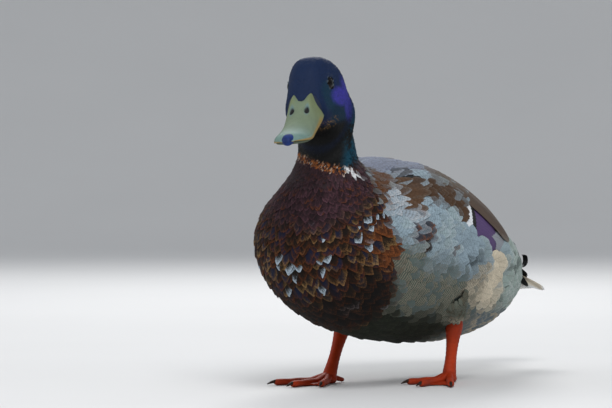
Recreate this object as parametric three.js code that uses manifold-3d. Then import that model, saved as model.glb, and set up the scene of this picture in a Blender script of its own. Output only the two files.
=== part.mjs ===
// A mallard drake standing with its head turned to its left, life size, in millimetres.
// +Z is up, the bird faces -Y and its left side is +X. The origin is the middle of the
// bounding box at floor level. Every piece is one closed solid in a named mesh.
import * as THREE from "three";
import { mergeVertices } from "three/addons/utils/BufferGeometryUtils.js";
import Module from "manifold-3d";

const wasm = await Module();
wasm.setup();

// ---------------------------------------------------------------- driving dimensions
const GAP = 0.35; // left between two pieces that touch
const NECK_AXIS = 100; // how far forward the neck's upright turning axis stands
// The point between the eyes, and the head's degrees nose-down, leftward, and crown to the right.
const HEAD = { forward: 119.3, up: 206, pitch: 18, turn: 18.3, lean: 5.7 };
const FULL_TURN = Math.PI * 2;

// The trunk, neck and head are one tube of upright rungs. Each rung joins a point of the back
// line to a point of the belly line: [forward, up] of both, half the width between the sides,
// how much wider the upper part is than the lower, how boxy the section is, and its turn.
const RUNGS = [
  { back: [-163, 79], belly: [-161, 68], half: 7, pear: 0, boxy: 2.0, turn: 0 }, // vent
  { back: [-150, 86], belly: [-147, 56], half: 21, pear: 0, boxy: 2.0, turn: 0 },
  { back: [-124, 98], belly: [-122, 41], half: 36, pear: 0.05, boxy: 2.0, turn: 0 },
  { back: [-92, 112], belly: [-86, 30], half: 47, pear: 0.1, boxy: 2.05, turn: 0 },
  { back: [-55, 131], belly: [-35, 28], half: 54, pear: 0.12, boxy: 2.1, turn: 0 },
  { back: [-20, 146], belly: [20, 32], half: 57, pear: 0.12, boxy: 2.1, turn: 0 },
  { back: [12, 155], belly: [68, 41], half: 57, pear: 0.08, boxy: 2.1, turn: 0 },
  { back: [36, 156.5], belly: [107, 57], half: 53.5, pear: 0.03, boxy: 2.1, turn: 0 },
  { back: [49, 153], belly: [127, 78], half: 50, pear: 0, boxy: 2.05, turn: 0 }, // breast
  { back: [56, 151], belly: [130, 99], half: 43.5, pear: 0, boxy: 2.0, turn: 0 },
  { back: [61, 153], belly: [126, 119], half: 32.5, pear: 0, boxy: 2.0, turn: 0 },
  { back: [64, 160], belly: [118, 137], half: 22.5, pear: 0, boxy: 2.0, turn: 0 }, // foot of the neck
  { back: [67, 170], belly: [110, 146], half: 19.8, pear: 0, boxy: 2.0, turn: 2 },
  { back: [71, 183], belly: [105.5, 151], half: 18.7, pear: 0, boxy: 2.0, turn: 6 },
  { back: [74, 197], belly: [105, 156], half: 20, pear: 0.25, boxy: 2.1, turn: 11 },
  { back: [81, 210], belly: [106, 163], half: 19.2, pear: 0.07, boxy: 2.3, turn: 15 }, // nape
  { back: [94, 221], belly: [109, 168], half: 18.7, pear: 0.02, boxy: 2.8, turn: 17 },
  { back: [112, 223.5], belly: [113, 171], half: 16.9, pear: -0.12, boxy: 2.9, turn: 18.3 }, // crown
  { back: [127, 218], belly: [119, 173], half: 14.6, pear: -0.2, boxy: 2.8, turn: 18.3 },
  { back: [136.4, 208.8], belly: [127, 175.5], half: 13.7, pear: -0.2, boxy: 2.5, turn: 18.3 }, // forehead
  { back: [142.2, 200], belly: [133, 178], half: 13.2, pear: -0.15, boxy: 2.3, turn: 18.3 },
  { back: [147, 194.6], belly: [138, 181], half: 9.5, pear: -0.1, boxy: 2.2, turn: 18.3 }, // root of the bill
];
const LAST = RUNGS.length - 1;
// Where the tube is parted, in rungs counted from the vent.
const CUT = { rump: 1.3, neck: 11.3, head: 14.6, slit: 0.03 };

// ---------------------------------------------------------------- small tools
const radians = THREE.MathUtils.degToRad;
const lerp = THREE.MathUtils.lerp;
const smooth = (x, low, high) => THREE.MathUtils.smoothstep(x, low, high);

// A smooth curve through evenly spaced values, at t from 0 to 1.
function spline(values, t) {
  const last = values.length - 1;
  const at = Math.min(Math.max(t, 0), 1) * last;
  const i = Math.min(Math.floor(at), last - 1);
  const f = at - i;
  const p0 = values[Math.max(i - 1, 0)];
  const p1 = values[i];
  const p2 = values[i + 1];
  const p3 = values[Math.min(i + 2, last)];
  const slope1 = (p2 - p0) / 2;
  const slope2 = (p3 - p1) / 2;
  return (
    (2 * f ** 3 - 3 * f ** 2 + 1) * p1 +
    (f ** 3 - 2 * f ** 2 + f) * slope1 +
    (3 * f ** 2 - 2 * f ** 3) * p2 +
    (f ** 3 - f ** 2) * slope2
  );
}

// cos or sin pushed towards a square: 2 leaves the circle as it is.
const squared = (v, boxy) => Math.sign(v) * Math.abs(v) ** (2 / boxy);

// Turns a point about the neck's upright axis, towards the bird's left. The turn brings its
// share of the head's lean with it, which is about a level line through the eyes.
function turned(side, forward, up, degrees) {
  const lean = radians((HEAD.lean * degrees) / HEAD.turn);
  const above = up - HEAD.up;
  const aside = side * Math.cos(lean) - above * Math.sin(lean);
  const a = radians(degrees);
  const reach = forward - NECK_AXIS;
  return new THREE.Vector3(
    aside * Math.cos(a) + reach * Math.sin(a),
    -(NECK_AXIS + reach * Math.cos(a) - aside * Math.sin(a)),
    HEAD.up + above * Math.cos(lean) + side * Math.sin(lean),
  );
}

// A point of the head's own frame: to the left, along the bill, and up from its middle.
function headPoint(side, along, above) {
  const a = radians(HEAD.pitch);
  const forward = HEAD.forward + along * Math.cos(a) + above * Math.sin(a);
  const up = HEAD.up - along * Math.sin(a) + above * Math.cos(a);
  return turned(side, forward, up, HEAD.turn);
}

// A point of the body's surface: rung counted from the vent, angle from the back round the
// left side, and how far the surface is swollen.
const column = (read) => RUNGS.map(read);
const TRACKS = {
  backF: column((r) => r.back[0]),
  backZ: column((r) => r.back[1]),
  bellyF: column((r) => r.belly[0]),
  bellyZ: column((r) => r.belly[1]),
  half: column((r) => r.half),
  pear: column((r) => r.pear),
  boxy: column((r) => r.boxy),
  turn: column((r) => r.turn),
};
function bodyPoint(rung, angle, swell = 0) {
  const v = {};
  for (const [name, track] of Object.entries(TRACKS)) v[name] = spline(track, rung / LAST);
  const rise = squared(Math.cos(angle), v.boxy);
  const out = squared(Math.sin(angle), v.boxy);
  const height = Math.hypot(v.backF - v.bellyF, v.backZ - v.bellyZ) / 2;
  const share = ((height + swell) / height) * rise;
  const forward = (v.backF + v.bellyF) / 2 + ((v.backF - v.bellyF) / 2) * share;
  const up = (v.backZ + v.bellyZ) / 2 + ((v.backZ - v.bellyZ) / 2) * share;
  return turned((v.half + swell) * out * (1 + v.pear * rise), forward, up, v.turn);
}

// ---------------------------------------------------------------- meshes and solids
// A closed geometry from points and triangles, turned so that its faces point out.
function closed(points, faces) {
  let volume = 0;
  const cross = new THREE.Vector3();
  for (const [a, b, c] of faces) volume += points[a].dot(cross.crossVectors(points[b], points[c]));
  const index = faces.flatMap(([a, b, c]) => (volume < 0 ? [a, c, b] : [a, b, c]));
  return new THREE.BufferGeometry().setFromPoints(points).setIndex(index);
}

// Rings of equal length joined into a tube, with a fan over each end.
function tube(rings) {
  const around = rings[0].length;
  const points = rings.flat();
  const faces = [];
  for (let i = 0; i < rings.length - 1; i++) {
    for (let j = 0; j < around; j++) {
      const a = i * around + j;
      const b = i * around + ((j + 1) % around);
      faces.push([a, b, b + around], [a, b + around, a + around]);
    }
  }
  for (const [start, flip] of [[0, true], [(rings.length - 1) * around, false]]) {
    const middle = new THREE.Vector3();
    for (let j = 0; j < around; j++) middle.addScaledVector(points[start + j], 1 / around);
    const hub = points.push(middle) - 1;
    for (let j = 0; j < around; j++) {
      const a = start + j;
      const b = start + ((j + 1) % around);
      faces.push(flip ? [hub, b, a] : [hub, a, b]);
    }
  }
  return closed(points, faces);
}

// Two skins over the same grid, stitched along their rims: at(u, v, side) with side 0 or 1.
function plate(across, along, at) {
  const points = [];
  for (const side of [0, 1]) {
    for (let i = 0; i <= along; i++) {
      for (let j = 0; j <= across; j++) points.push(at(i / along, j / across, side));
    }
  }
  const row = across + 1;
  const sheet = row * (along + 1);
  const faces = [];
  for (let i = 0; i < along; i++) {
    for (let j = 0; j < across; j++) {
      const a = i * row + j;
      faces.push([a, a + 1, a + row + 1], [a, a + row + 1, a + row]);
      const b = a + sheet;
      faces.push([b, b + row + 1, b + 1], [b, b + row, b + row + 1]);
    }
  }
  const rim = [];
  for (let j = 0; j < across; j++) rim.push(j);
  for (let i = 0; i < along; i++) rim.push(i * row + across);
  for (let j = across; j > 0; j--) rim.push(along * row + j);
  for (let i = along; i > 0; i--) rim.push(i * row);
  rim.forEach((a, n) => {
    const b = rim[(n + 1) % rim.length];
    faces.push([a, a + sheet, b + sheet], [a, b + sheet, b]);
  });
  return closed(points, faces);
}

// A tube of ellipses along a path. sizes(t) gives the half width to the side and the half
// height; each section stands square to the path, with its width level unless roll is set.
function limb(path, steps, around, sizes, roll = 0) {
  const rings = [];
  for (let i = 0; i <= steps; i++) {
    const t = i / steps;
    const middle = path.getPoint(t);
    const ahead = path.getTangent(t);
    const lean = Math.abs(ahead.z) > 0.95 ? new THREE.Vector3(0, -1, 0) : new THREE.Vector3(0, 0, 1);
    const across = new THREE.Vector3().crossVectors(ahead, lean).normalize();
    const above = new THREE.Vector3().crossVectors(across, ahead).normalize();
    across.applyAxisAngle(ahead, roll);
    above.applyAxisAngle(ahead, roll);
    const [wide, tall] = sizes(t);
    rings.push(
      Array.from({ length: around }, (_, j) => {
        const a = (j / around) * FULL_TURN;
        return middle
          .clone()
          .addScaledVector(across, wide * Math.cos(a))
          .addScaledVector(above, tall * Math.sin(a));
      }),
    );
  }
  return tube(rings);
}

const curve = (...points) => new THREE.CatmullRomCurve3(points.map((p) => new THREE.Vector3(...p)));

function solid(geometry) {
  const bare = geometry.clone();
  bare.deleteAttribute("normal");
  bare.deleteAttribute("uv");
  const merged = mergeVertices(bare, 1e-4);
  const vertProperties = merged.attributes.position.array;
  const triVerts = new Uint32Array(merged.index.array);
  return new wasm.Manifold(new wasm.Mesh({ numProp: 3, vertProperties, triVerts }));
}

function geometryOf(manifold) {
  const mesh = manifold.getMesh();
  return new THREE.BufferGeometry()
    .setAttribute("position", new THREE.BufferAttribute(mesh.vertProperties, 3))
    .setIndex(new THREE.BufferAttribute(mesh.triVerts, 1));
}

const joined = (...geometries) => geometryOf(geometries.map(solid).reduce((a, b) => a.add(b)));
const cut = (geometry, ...tools) =>
  geometryOf(tools.map(solid).reduce((a, b) => a.subtract(b), solid(geometry)));

// ---------------------------------------------------------------- trunk, rump, neck, head
const stations = (from, to, steps) => Array.from({ length: steps + 1 }, (_, i) => lerp(from, to, i / steps));
const bodyTube = (rungs, around, swell = 0) =>
  tube(
    rungs.map((rung) =>
      Array.from({ length: around }, (_, j) => bodyPoint(rung, (j / around) * FULL_TURN, swell)),
    ),
  );

// What sits on the flesh is cut by the same tube, swollen by the gap, so that faces lie parallel.
const AROUND = { trunk: 28, neck: 22, head: 24 };
const RUMP_RUNGS = stations(0, CUT.rump, 4);
const TRUNK_RUNGS = stations(CUT.rump + CUT.slit, CUT.neck, 20);
const HEAD_RUNGS = stations(CUT.head + CUT.slit, LAST, 12);
const rump = bodyTube(RUMP_RUNGS, AROUND.trunk);
const trunk = bodyTube(TRUNK_RUNGS, AROUND.trunk);
const neck = bodyTube(stations(CUT.neck + CUT.slit, CUT.head, 7), AROUND.neck);
const wholeHead = bodyTube(HEAD_RUNGS, AROUND.head);
const swollenBody = bodyTube([...RUMP_RUNGS, ...TRUNK_RUNGS], AROUND.trunk, GAP);
const swollenHead = bodyTube(HEAD_RUNGS, AROUND.head, GAP);

// ---------------------------------------------------------------- eyes
const EYE = { side: 10, along: -1.8, above: -1.8, radius: 5.6 };
const eyeball = (left, swell = 0) =>
  new THREE.SphereGeometry(EYE.radius + swell, 12, 7).translate(
    ...headPoint(left * EYE.side, EYE.along, EYE.above),
  );
const head = cut(wholeHead, eyeball(1, GAP), eyeball(-1, GAP));

// ---------------------------------------------------------------- bill
// Profiles from root to tip, in the head's frame: half width, ridge, cutting edge, underside.
const BILL = { root: 22, tip: 84, mouth: 0.3, boxy: 2.4, around: 12, steps: 10 };
const BILL_HALF = [12.0, 12.1, 11.5, 11.0, 11.1, 11.7, 12.0, 10.2, 3.6];
const CULMEN = [-3, -3.6, -6, -8.8, -10.5, -11.3, -11.3, -10.9, -12.8];
const TOMIUM = [-16.3, -17.6, -18.8, -19.7, -20, -19.6, -18.2, -16.2, -14];
const KEEL = [-22.5, -23, -23.4, -23.4, -22.9, -21.9, -20.2, -17.9, -15.6];

// At its root the bill rises in two corners beside the forehead: shares of the half width and
// of the height from the cutting edge to the ridge, from the edge to the middle.
const CORNER_SIDE = [1, 0.935, 0.83, 0.71, 0.59, 0.475, 0.34, 0.17, 0];
const CORNER_RISE = [0, 0.27, 0.55, 0.83, 1.08, 1.2, 1.16, 1.05, 1];
const CORNER_END = [0.08, 0.42];

function billSection(t, half, top, bottom) {
  const along = lerp(BILL.root, BILL.tip, t);
  const plain = smooth(t, ...CORNER_END);
  const arch = Array.from({ length: BILL.around + 1 }, (_, j) => {
    const a = (j / BILL.around) * Math.PI;
    const edge = 1 - Math.abs(1 - (2 * j) / BILL.around);
    const side = lerp(Math.sign(Math.cos(a)) * spline(CORNER_SIDE, edge), squared(Math.cos(a), BILL.boxy), plain);
    const rise = lerp(spline(CORNER_RISE, edge), squared(Math.sin(a), BILL.boxy), plain);
    return headPoint(half * side, along, lerp(bottom, top, rise));
  });
  const floor = [-0.5, 0, 0.5].map((share) => headPoint(half * share, along, bottom));
  return [...arch, ...floor];
}

const upperWhole = tube(
  stations(0, 1, BILL.steps).map((t) =>
    billSection(t, spline(BILL_HALF, t), spline(CULMEN, t), spline(TOMIUM, t)),
  ),
);
const LOWER = { inset: 1.2, reach: 0.95, steps: 8 };
const lowerWhole = tube(
  stations(0, LOWER.reach, LOWER.steps).map((t) =>
    billSection(t, spline(BILL_HALF, t) - LOWER.inset, spline(KEEL, t), spline(TOMIUM, t) - BILL.mouth),
  ),
);
const NAIL = { along: 80, above: -13.6, radii: [4.1, 6, 3.5] };
function nailBall(swell) {
  const ball = new THREE.SphereGeometry(1, 12, 7);
  const place = ball.attributes.position;
  for (let i = 0; i < place.count; i++) {
    const [side, along, above] = NAIL.radii.map((r, k) => (r + swell) * place.getComponent(i, k));
    const p = headPoint(side, NAIL.along - along, NAIL.above + above);
    place.setXYZ(i, p.x, p.y, p.z);
  }
  return ball;
}
const nail = nailBall(0);
const billUpper = cut(upperWhole, swollenHead, nailBall(GAP));
const billLower = cut(lowerWhole, swollenHead, nailBall(GAP));

// ---------------------------------------------------------------- wings
const WING = {
  front: 8, // rung of the shoulder
  rear: 1.4,
  upper: [50, 24, 15, 12, 12, 13], // degrees down from the back, shoulder to rear
  lower: [84, 99, 101, 98, 88, 72],
  thick: 5,
  edge: 0.7,
  sunk: -3, // the inner side starts inside the trunk, which cuts it to fit
  along: 13,
  across: 6,
};
function wingPoint(left, u, v, outer) {
  const angle = radians(lerp(spline(WING.upper, u), spline(WING.lower, u), v));
  const bulge = Math.sin(Math.PI * v) ** 0.7 * smooth(u, 0, 0.25) * (1 - 0.55 * smooth(u, 0.6, 1));
  const swell = outer ? GAP + WING.edge + WING.thick * bulge : WING.sunk;
  return bodyPoint(lerp(WING.front, WING.rear, u), left * angle, swell);
}
// The primaries' tips, beyond the folded wing: side, forward, up.
const WING_TIP = { root: [25, -92, 106], knee: [21, -126, 98], end: [15, -153, 86.5] };
function wing(left) {
  const shell = plate(WING.across, WING.along, (u, v, side) => wingPoint(left, u, v, side));
  const path = curve(
    ...[WING_TIP.root, WING_TIP.knee, WING_TIP.end].map(([side, forward, up]) => [left * side, -forward, up]),
  );
  const sizes = (t) => [lerp(11, 4, t * t) * smooth(t, -0.3, 0.2), lerp(3, 0.8, t)];
  return cut(joined(shell, limb(path, 7, 10, sizes, left * radians(-25))), swollenBody);
}

// ---------------------------------------------------------------- tail
const TAIL = {
  root: [-138, 77], // forward, up
  droop: 16,
  length: 78,
  rounding: 12, // how much shorter the outer feathers are
  half: [8, 12, 15.5, 17, 14],
  crown: 3,
  thick: [3.2, 1.2],
};
function tailPoint(u, v, side) {
  const c = 2 * v - 1;
  const reach = u * (TAIL.length - TAIL.rounding * c * c);
  const a = radians(TAIL.droop);
  const lift = (side ? 0.5 : -0.5) * lerp(...TAIL.thick, u) * (1 - 0.6 * c ** 4) - TAIL.crown * c * c * u;
  return new THREE.Vector3(
    c * spline(TAIL.half, u),
    -(TAIL.root[0] - reach * Math.cos(a) + lift * Math.sin(a)),
    TAIL.root[1] - reach * Math.sin(a) + lift * Math.cos(a),
  );
}
const tail = cut(plate(8, 8, tailPoint), swollenBody);

// The drake's two curled feathers, rising from the rump and rolling forward at their ends.
const CURL = { half: 2.8, thick: 0.7 };
const curl = (left) => {
  const path = curve(
    [left * 3.2, 158, 79],
    [left * 3.8, 172, 76],
    [left * 4.4, 183, 74],
    [left * 4.9, 190, 77],
    [left * 5.3, 189, 82.5],
    [left * 5.6, 183.5, 83.5],
  );
  const sizes = (t) => [CURL.half * (1 - 0.35 * t), CURL.thick * (1 - 0.2 * t)];
  return cut(limb(path, 11, 8, sizes), swollenBody, plate(8, 8, tailPoint));
};

// ---------------------------------------------------------------- legs
const LEGS = {
  left: { sign: 1, knee: [41, -10, 61], ankle: [36, -26, 45], foot: [34, -21, 7], aim: 6 },
  right: { sign: -1, knee: [-41, 18, 61], ankle: [-37, 1, 45], foot: [-34, 28, 7], aim: -4 },
};
const at = ([side, forward, up]) => [side, -forward, up];

// The feathered shin, from inside the flank to a cuff just over the ankle.
function shin({ knee, ankle }, swell = 0) {
  const cuff = [ankle[0], ankle[1], ankle[2] - swell];
  const middle = knee.map((v, i) => lerp(v, cuff[i], 0.55));
  const sizes = (t) => [lerp(13, 7.4, t ** 0.8) + swell, lerp(14, 7.8, t ** 0.8) + swell];
  return limb(curve(at(knee), at(middle), at(cuff)), 5, 14, sizes);
}
const thigh = (leg) => cut(shin(leg), swollenBody);

const SHANK_HALF = [5.4, 5.8, 4.6, 3.9, 3.7, 4.1, 4.9];
const SHANK_DEPTH = [5.9, 6.3, 5.3, 4.5, 4.3, 4.8, 5.5];
function shank(leg) {
  const { ankle, foot } = leg;
  const middle = ankle.map((v, i) => lerp(v, foot[i], 0.5));
  const path = curve(at(ankle), at(middle), at([foot[0], foot[1], foot[2] - 3]));
  const sizes = (t) => [spline(SHANK_HALF, t), spline(SHANK_DEPTH, t)];
  const under = new THREE.BoxGeometry(60, 60, 30).translate(foot[0], -foot[1], foot[2] + 1 - 15);
  return cut(limb(path, 7, 11, sizes), swollenBody, shin(leg, GAP), under);
}

// Toes fan out from the foot of the shank: [degrees outward, length, claw].
const TOES = [
  { spread: -27, length: 37, claw: 6 },
  { spread: -2, length: 46, claw: 6.5 },
  { spread: 25, length: 43, claw: 6 },
];
const TOE = { thick: 2.7, tip: 2.1, heel: 5.6, up: 2.3 };
const WEB = { thick: 1.2, up: 1.6, reach: 0.84, scallop: 0.8 };
const HIND = { spread: 196, length: 13 };

function toeTip(foot, sign, aim, spread, reach) {
  const a = radians(aim + sign * spread);
  return [foot[0] + reach * Math.sin(a), foot[1] + reach * Math.cos(a)];
}

function foot({ sign, foot: base, aim }) {
  const pieces = [];
  for (const { spread, length, claw } of TOES) {
    const mark = (reach, up) => at([...toeTip(base, sign, aim, spread, reach), up]);
    const [root, middle] = [mark(-1, TOE.heel - 2), mark(length * 0.3, TOE.up + 1)];
    const path = curve(root, middle, mark(length * 0.7, TOE.up), mark(length, TOE.up - 0.4));
    const knuckles = (t) => lerp(TOE.thick + 0.7, TOE.tip, t) + 0.35 * Math.cos(t * FULL_TURN * 3);
    pieces.push(limb(path, 5, 6, (t) => [knuckles(t), knuckles(t)]));
    const bend = mark(length + claw * 0.5, TOE.up - 0.2);
    const clawPath = curve(mark(length - 2, TOE.up + 0.3), bend, mark(length + claw, 0.7));
    pieces.push(limb(clawPath, 2, 5, (t) => [lerp(1.6, 0.5, t), lerp(1.8, 0.5, t)]));
  }
  const [inner, middle, outer] = TOES.map(({ spread, length }) =>
    toeTip(base, sign, aim, spread, length * WEB.reach),
  );
  const notch = (a, b) => a.map((v, i) => lerp(base[i], (v + b[i]) / 2, WEB.scallop));
  const outline = new THREE.Shape();
  outline.moveTo(base[0], -base[1]);
  outline.lineTo(inner[0], -inner[1]);
  for (const [from, to] of [[inner, middle], [middle, outer]]) {
    const dip = notch(from, to);
    outline.quadraticCurveTo(dip[0], -dip[1], to[0], -to[1]);
  }
  outline.closePath();
  const web = new THREE.ExtrudeGeometry(outline, { depth: WEB.thick, bevelEnabled: false, curveSegments: 2 });
  pieces.push(web.translate(0, 0, WEB.up - WEB.thick / 2));
  const pad = new THREE.SphereGeometry(1, 9, 5).scale(5.3, 6.2, 4).translate(...at([base[0], base[1], 2.9]));
  pieces.push(pad);
  const hind = (reach, up) => at([...toeTip(base, sign, aim, HIND.spread, reach), up]);
  const hindPath = curve(hind(2, 5), hind(HIND.length * 0.6, 3.2), hind(HIND.length, 1.5));
  pieces.push(limb(hindPath, 4, 6, (t) => [lerp(2.3, 1.4, t), lerp(2.3, 1.5, t)]));
  const floor = new THREE.BoxGeometry(300, 300, 40).translate(base[0], -base[1], -20);
  const air = new THREE.BoxGeometry(60, 60, 30).translate(base[0], -base[1], base[2] + 15 + 1 - GAP);
  return cut(joined(...pieces), floor, air);
}

// ---------------------------------------------------------------- materials
const finish = (color, roughness) => new THREE.MeshStandardMaterial({ color, roughness, metalness: 0 });
const MATERIALS = {
  head: finish("#14283a", 0.4),
  breast: finish("#4a2c1c", 0.8),
  flank: finish("#8d9188", 0.85),
  wing: finish("#6d5a48", 0.8),
  tail: finish("#b9ada0", 0.8),
  black: finish("#141a1c", 0.45),
  bill: finish("#a9b184", 0.45),
  nail: finish("#26437f", 0.5),
  eye: finish("#120c08", 0.08),
  leg: finish("#c9461c", 0.55),
};

// ---------------------------------------------------------------- assembly
const bird = new THREE.Group();
const add = (name, geometry, material) => {
  const mesh = new THREE.Mesh(geometry, MATERIALS[material]);
  mesh.name = name;
  bird.add(mesh);
};

add("head", head, "head");
add("neck", neck, "head");
add("trunk", trunk, "flank");
add("rump", rump, "flank");
add("tail", tail, "tail");
add("bill_upper", billUpper, "bill");
add("bill_lower", billLower, "bill");
add("bill_nail", nail, "nail");
for (const [side, leg] of Object.entries(LEGS)) {
  add(`${side}_eye`, eyeball(leg.sign), "eye");
  add(`${side}_wing`, wing(leg.sign), "wing");
  add(`${side}_curl`, curl(leg.sign), "black");
  add(`${side}_thigh`, thigh(leg), "flank");
  add(`${side}_shank`, shank(leg), "leg");
  add(`${side}_foot`, foot(leg), "leg");
}

// Stands the bird on the floor, with the middle of its bounding box over the origin.
const box = new THREE.Box3().setFromObject(bird, true);
const middle = box.getCenter(new THREE.Vector3());
bird.position.set(-middle.x, -middle.y, -box.min.z);

export default bird;
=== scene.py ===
"""A mallard drake at life size, standing with its head turned to its left.

Skin, feathers, bill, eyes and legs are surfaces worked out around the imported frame. The bird faces -Y, its
left side is +X and +Z is up. Sizes inside the functions are in millimetres, and mesh_object turns them into
metres.
"""

import math

import bpy
import numpy as np
from bpy.props import FloatProperty, FloatVectorProperty, IntProperty, PointerProperty
from bpy.types import Operator, Panel, PropertyGroup
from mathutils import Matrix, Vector


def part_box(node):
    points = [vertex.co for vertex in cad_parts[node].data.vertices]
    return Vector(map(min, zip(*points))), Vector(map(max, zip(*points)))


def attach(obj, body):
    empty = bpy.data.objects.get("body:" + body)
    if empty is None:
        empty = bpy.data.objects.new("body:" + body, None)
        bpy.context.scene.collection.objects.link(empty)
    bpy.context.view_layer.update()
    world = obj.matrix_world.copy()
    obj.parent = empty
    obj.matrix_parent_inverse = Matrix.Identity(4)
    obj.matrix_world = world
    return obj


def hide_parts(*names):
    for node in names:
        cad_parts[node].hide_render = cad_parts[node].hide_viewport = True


bl_info = {
    "name": "Mallard drake",
    "version": (1, 0, 0),
    "blender": (4, 5, 0),
    "location": "3D View > Sidebar > Drake",
    "description": "A life-size mallard drake with every feather as a mesh",
    "category": "Add Mesh",
}

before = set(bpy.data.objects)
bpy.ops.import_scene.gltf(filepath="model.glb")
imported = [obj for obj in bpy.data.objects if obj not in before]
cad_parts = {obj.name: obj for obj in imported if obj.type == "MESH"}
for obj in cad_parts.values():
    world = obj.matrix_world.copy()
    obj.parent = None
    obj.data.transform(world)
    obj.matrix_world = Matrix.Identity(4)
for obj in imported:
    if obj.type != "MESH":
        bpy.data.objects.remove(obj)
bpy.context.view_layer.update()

MM = 0.001
FULL_TURN = 2 * math.pi

# ---------------------------------------------------------------- the body's driving dimensions
NECK_AXIS = 100.0  # how far forward the neck's upright turning axis stands
# The point between the eyes, and how far the head looks down, turns left and leans its crown to the right.
HEAD = {"forward": 119.3, "up": 206.0, "pitch": 18.0, "turn": 18.3, "lean": 5.7}
EYE = {"side": 10.0, "along": -1.8, "above": -1.8, "radius": 5.6}

# The body is one tube of upright rungs, from the vent to the root of the bill. A row holds the back line's
# forward and up, the belly line's forward and up, half the width, pear, boxiness and turn about the neck.
RUNGS = np.array(
    [
        [-163, 79, -161, 68, 7, 0, 2.0, 0],  # vent
        [-150, 86, -147, 56, 21, 0, 2.0, 0],
        [-124, 98, -122, 41, 36, 0.05, 2.0, 0],
        [-92, 112, -86, 30, 47, 0.1, 2.05, 0],
        [-55, 131, -35, 28, 54, 0.12, 2.1, 0],
        [-20, 146, 20, 32, 57, 0.12, 2.1, 0],
        [12, 155, 68, 41, 57, 0.08, 2.1, 0],
        [36, 156.5, 107, 57, 53.5, 0.03, 2.1, 0],
        [49, 153, 127, 78, 50, 0, 2.05, 0],  # breast
        [56, 151, 130, 99, 43.5, 0, 2.0, 0],
        [61, 153, 126, 119, 32.5, 0, 2.0, 0],
        [64, 160, 118, 137, 22.5, 0, 2.0, 0],  # foot of the neck
        [67, 170, 110, 146, 19.8, 0, 2.0, 2],
        [71, 183, 105.5, 151, 18.7, 0, 2.0, 6],
        [74, 197, 105, 156, 20, 0.25, 2.1, 11],
        [81, 210, 106, 163, 19.2, 0.07, 2.3, 15],  # nape
        [94, 221, 109, 168, 18.7, 0.02, 2.8, 17],
        [112, 223.5, 113, 171, 16.9, -0.12, 2.9, 18.3],  # crown
        [127, 218, 119, 173, 14.6, -0.2, 2.8, 18.3],
        [136.4, 208.8, 127, 175.5, 13.7, -0.2, 2.5, 18.3],  # forehead
        [142.2, 200, 133, 178, 13.2, -0.15, 2.3, 18.3],
        [147, 194.6, 138, 181, 9.5, -0.1, 2.2, 18.3],  # root of the bill
    ]
)
LAST = len(RUNGS) - 1
TAPER = 0.7  # past the vent the tube narrows at this share of its last slope
REAR_END = -0.6  # the rung where the coat's surface ends

# The folded wing lifts the plumage between two angles from the back, from the shoulder's rung to the rear's.
# Its middle stands proud by the thickness, and its outline by the edge.
WING = {
    "front": 8.0,
    "rear": 1.4,
    "upper": np.array([50.0, 24, 15, 12, 12, 13]),
    "lower": np.array([84.0, 99, 101, 98, 88, 72]),
    "thick": 5.0,
    "edge": 0.7,
}

# The coat's depth at some rungs: thick on the body, thin on the neck and thinnest on the face.
DEPTH_RUNGS = [0, 1, 9, 11, 13, 15, 20, 21]
DEPTHS = [1.6, 2.8, 3.0, 2.4, 1.6, 1.1, 0.8, 0.6]


# ---------------------------------------------------------------- small tools
def smooth(value, low, high):
    """0 below low, 1 above high, with level ends: three times the square less twice the cube."""
    share = np.clip((value - low) / (high - low), 0, 1)
    return share * share * (3 - 2 * share)


def lerp(a, b, t):
    """The value a share t of the way from a to b."""
    return a + (b - a) * t


def through(rows, at):
    """A smooth curve through evenly spaced rows: cubic pieces whose slope at a row is half the step between
    its two neighbours."""
    last = len(rows) - 1
    at = np.clip(np.asarray(at, float), 0, last)
    i = np.minimum(at.astype(int), last - 1)
    f = at - i
    if rows.ndim > 1:
        f = f[..., None]
    before, here, there, after = (rows[np.clip(i + k, 0, last)] for k in (-1, 0, 1, 2))
    start_slope = (there - before) / 2
    end_slope = (after - here) / 2
    f2, f3 = f * f, f * f * f
    return (
        (2 * f3 - 3 * f2 + 1) * here
        + (f3 - 2 * f2 + f) * start_slope
        + (3 * f2 - 2 * f3) * there
        + (f3 - f2) * end_slope
    )


def along_curve(values, share):
    """The same smooth curve, at a share from 0 to 1 of its length in rows."""
    rows = np.asarray(values, float)
    return through(rows, np.asarray(share) * (len(rows) - 1))


def squared(value, boxy):
    """cos or sin pushed towards a square: its size to the power 2 over boxy, with its sign."""
    return np.sign(value) * np.abs(value) ** (2 / boxy)


def turned(side, forward, up, degrees):
    """Turns a point about the neck's upright axis, towards the bird's left. The turn brings its share of the
    head's lean, which is about a level line through the eyes."""
    lean = np.radians(degrees) * HEAD["lean"] / HEAD["turn"]
    above = up - HEAD["up"]
    side, up = (
        side * np.cos(lean) - above * np.sin(lean),
        HEAD["up"] + above * np.cos(lean) + side * np.sin(lean),
    )
    a = np.radians(degrees)
    reach = forward - NECK_AXIS
    x = side * np.cos(a) + reach * np.sin(a)
    y = -(NECK_AXIS + reach * np.cos(a) - side * np.sin(a))
    return np.stack(np.broadcast_arrays(x, y, up), -1)


def head_place(side, along, above):
    """A point of the head's own frame: to the left, along the bill, and up from between the eyes."""
    a = math.radians(HEAD["pitch"])
    forward = HEAD["forward"] + along * math.cos(a) + above * math.sin(a)
    up = HEAD["up"] - along * math.sin(a) + above * math.cos(a)
    return turned(side, forward, up, HEAD["turn"]) + SHIFT


def unit(vectors):
    """The vectors at a length of 1."""
    return vectors / np.maximum(np.linalg.norm(vectors, axis=-1, keepdims=True), 1e-9)


def frame_shift():
    """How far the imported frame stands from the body's own frame, read from where the left eye is."""
    low, high = (np.array(corner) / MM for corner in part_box("left_eye"))
    return (low + high) / 2 - head_place(EYE["side"], EYE["along"], EYE["above"])


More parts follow.
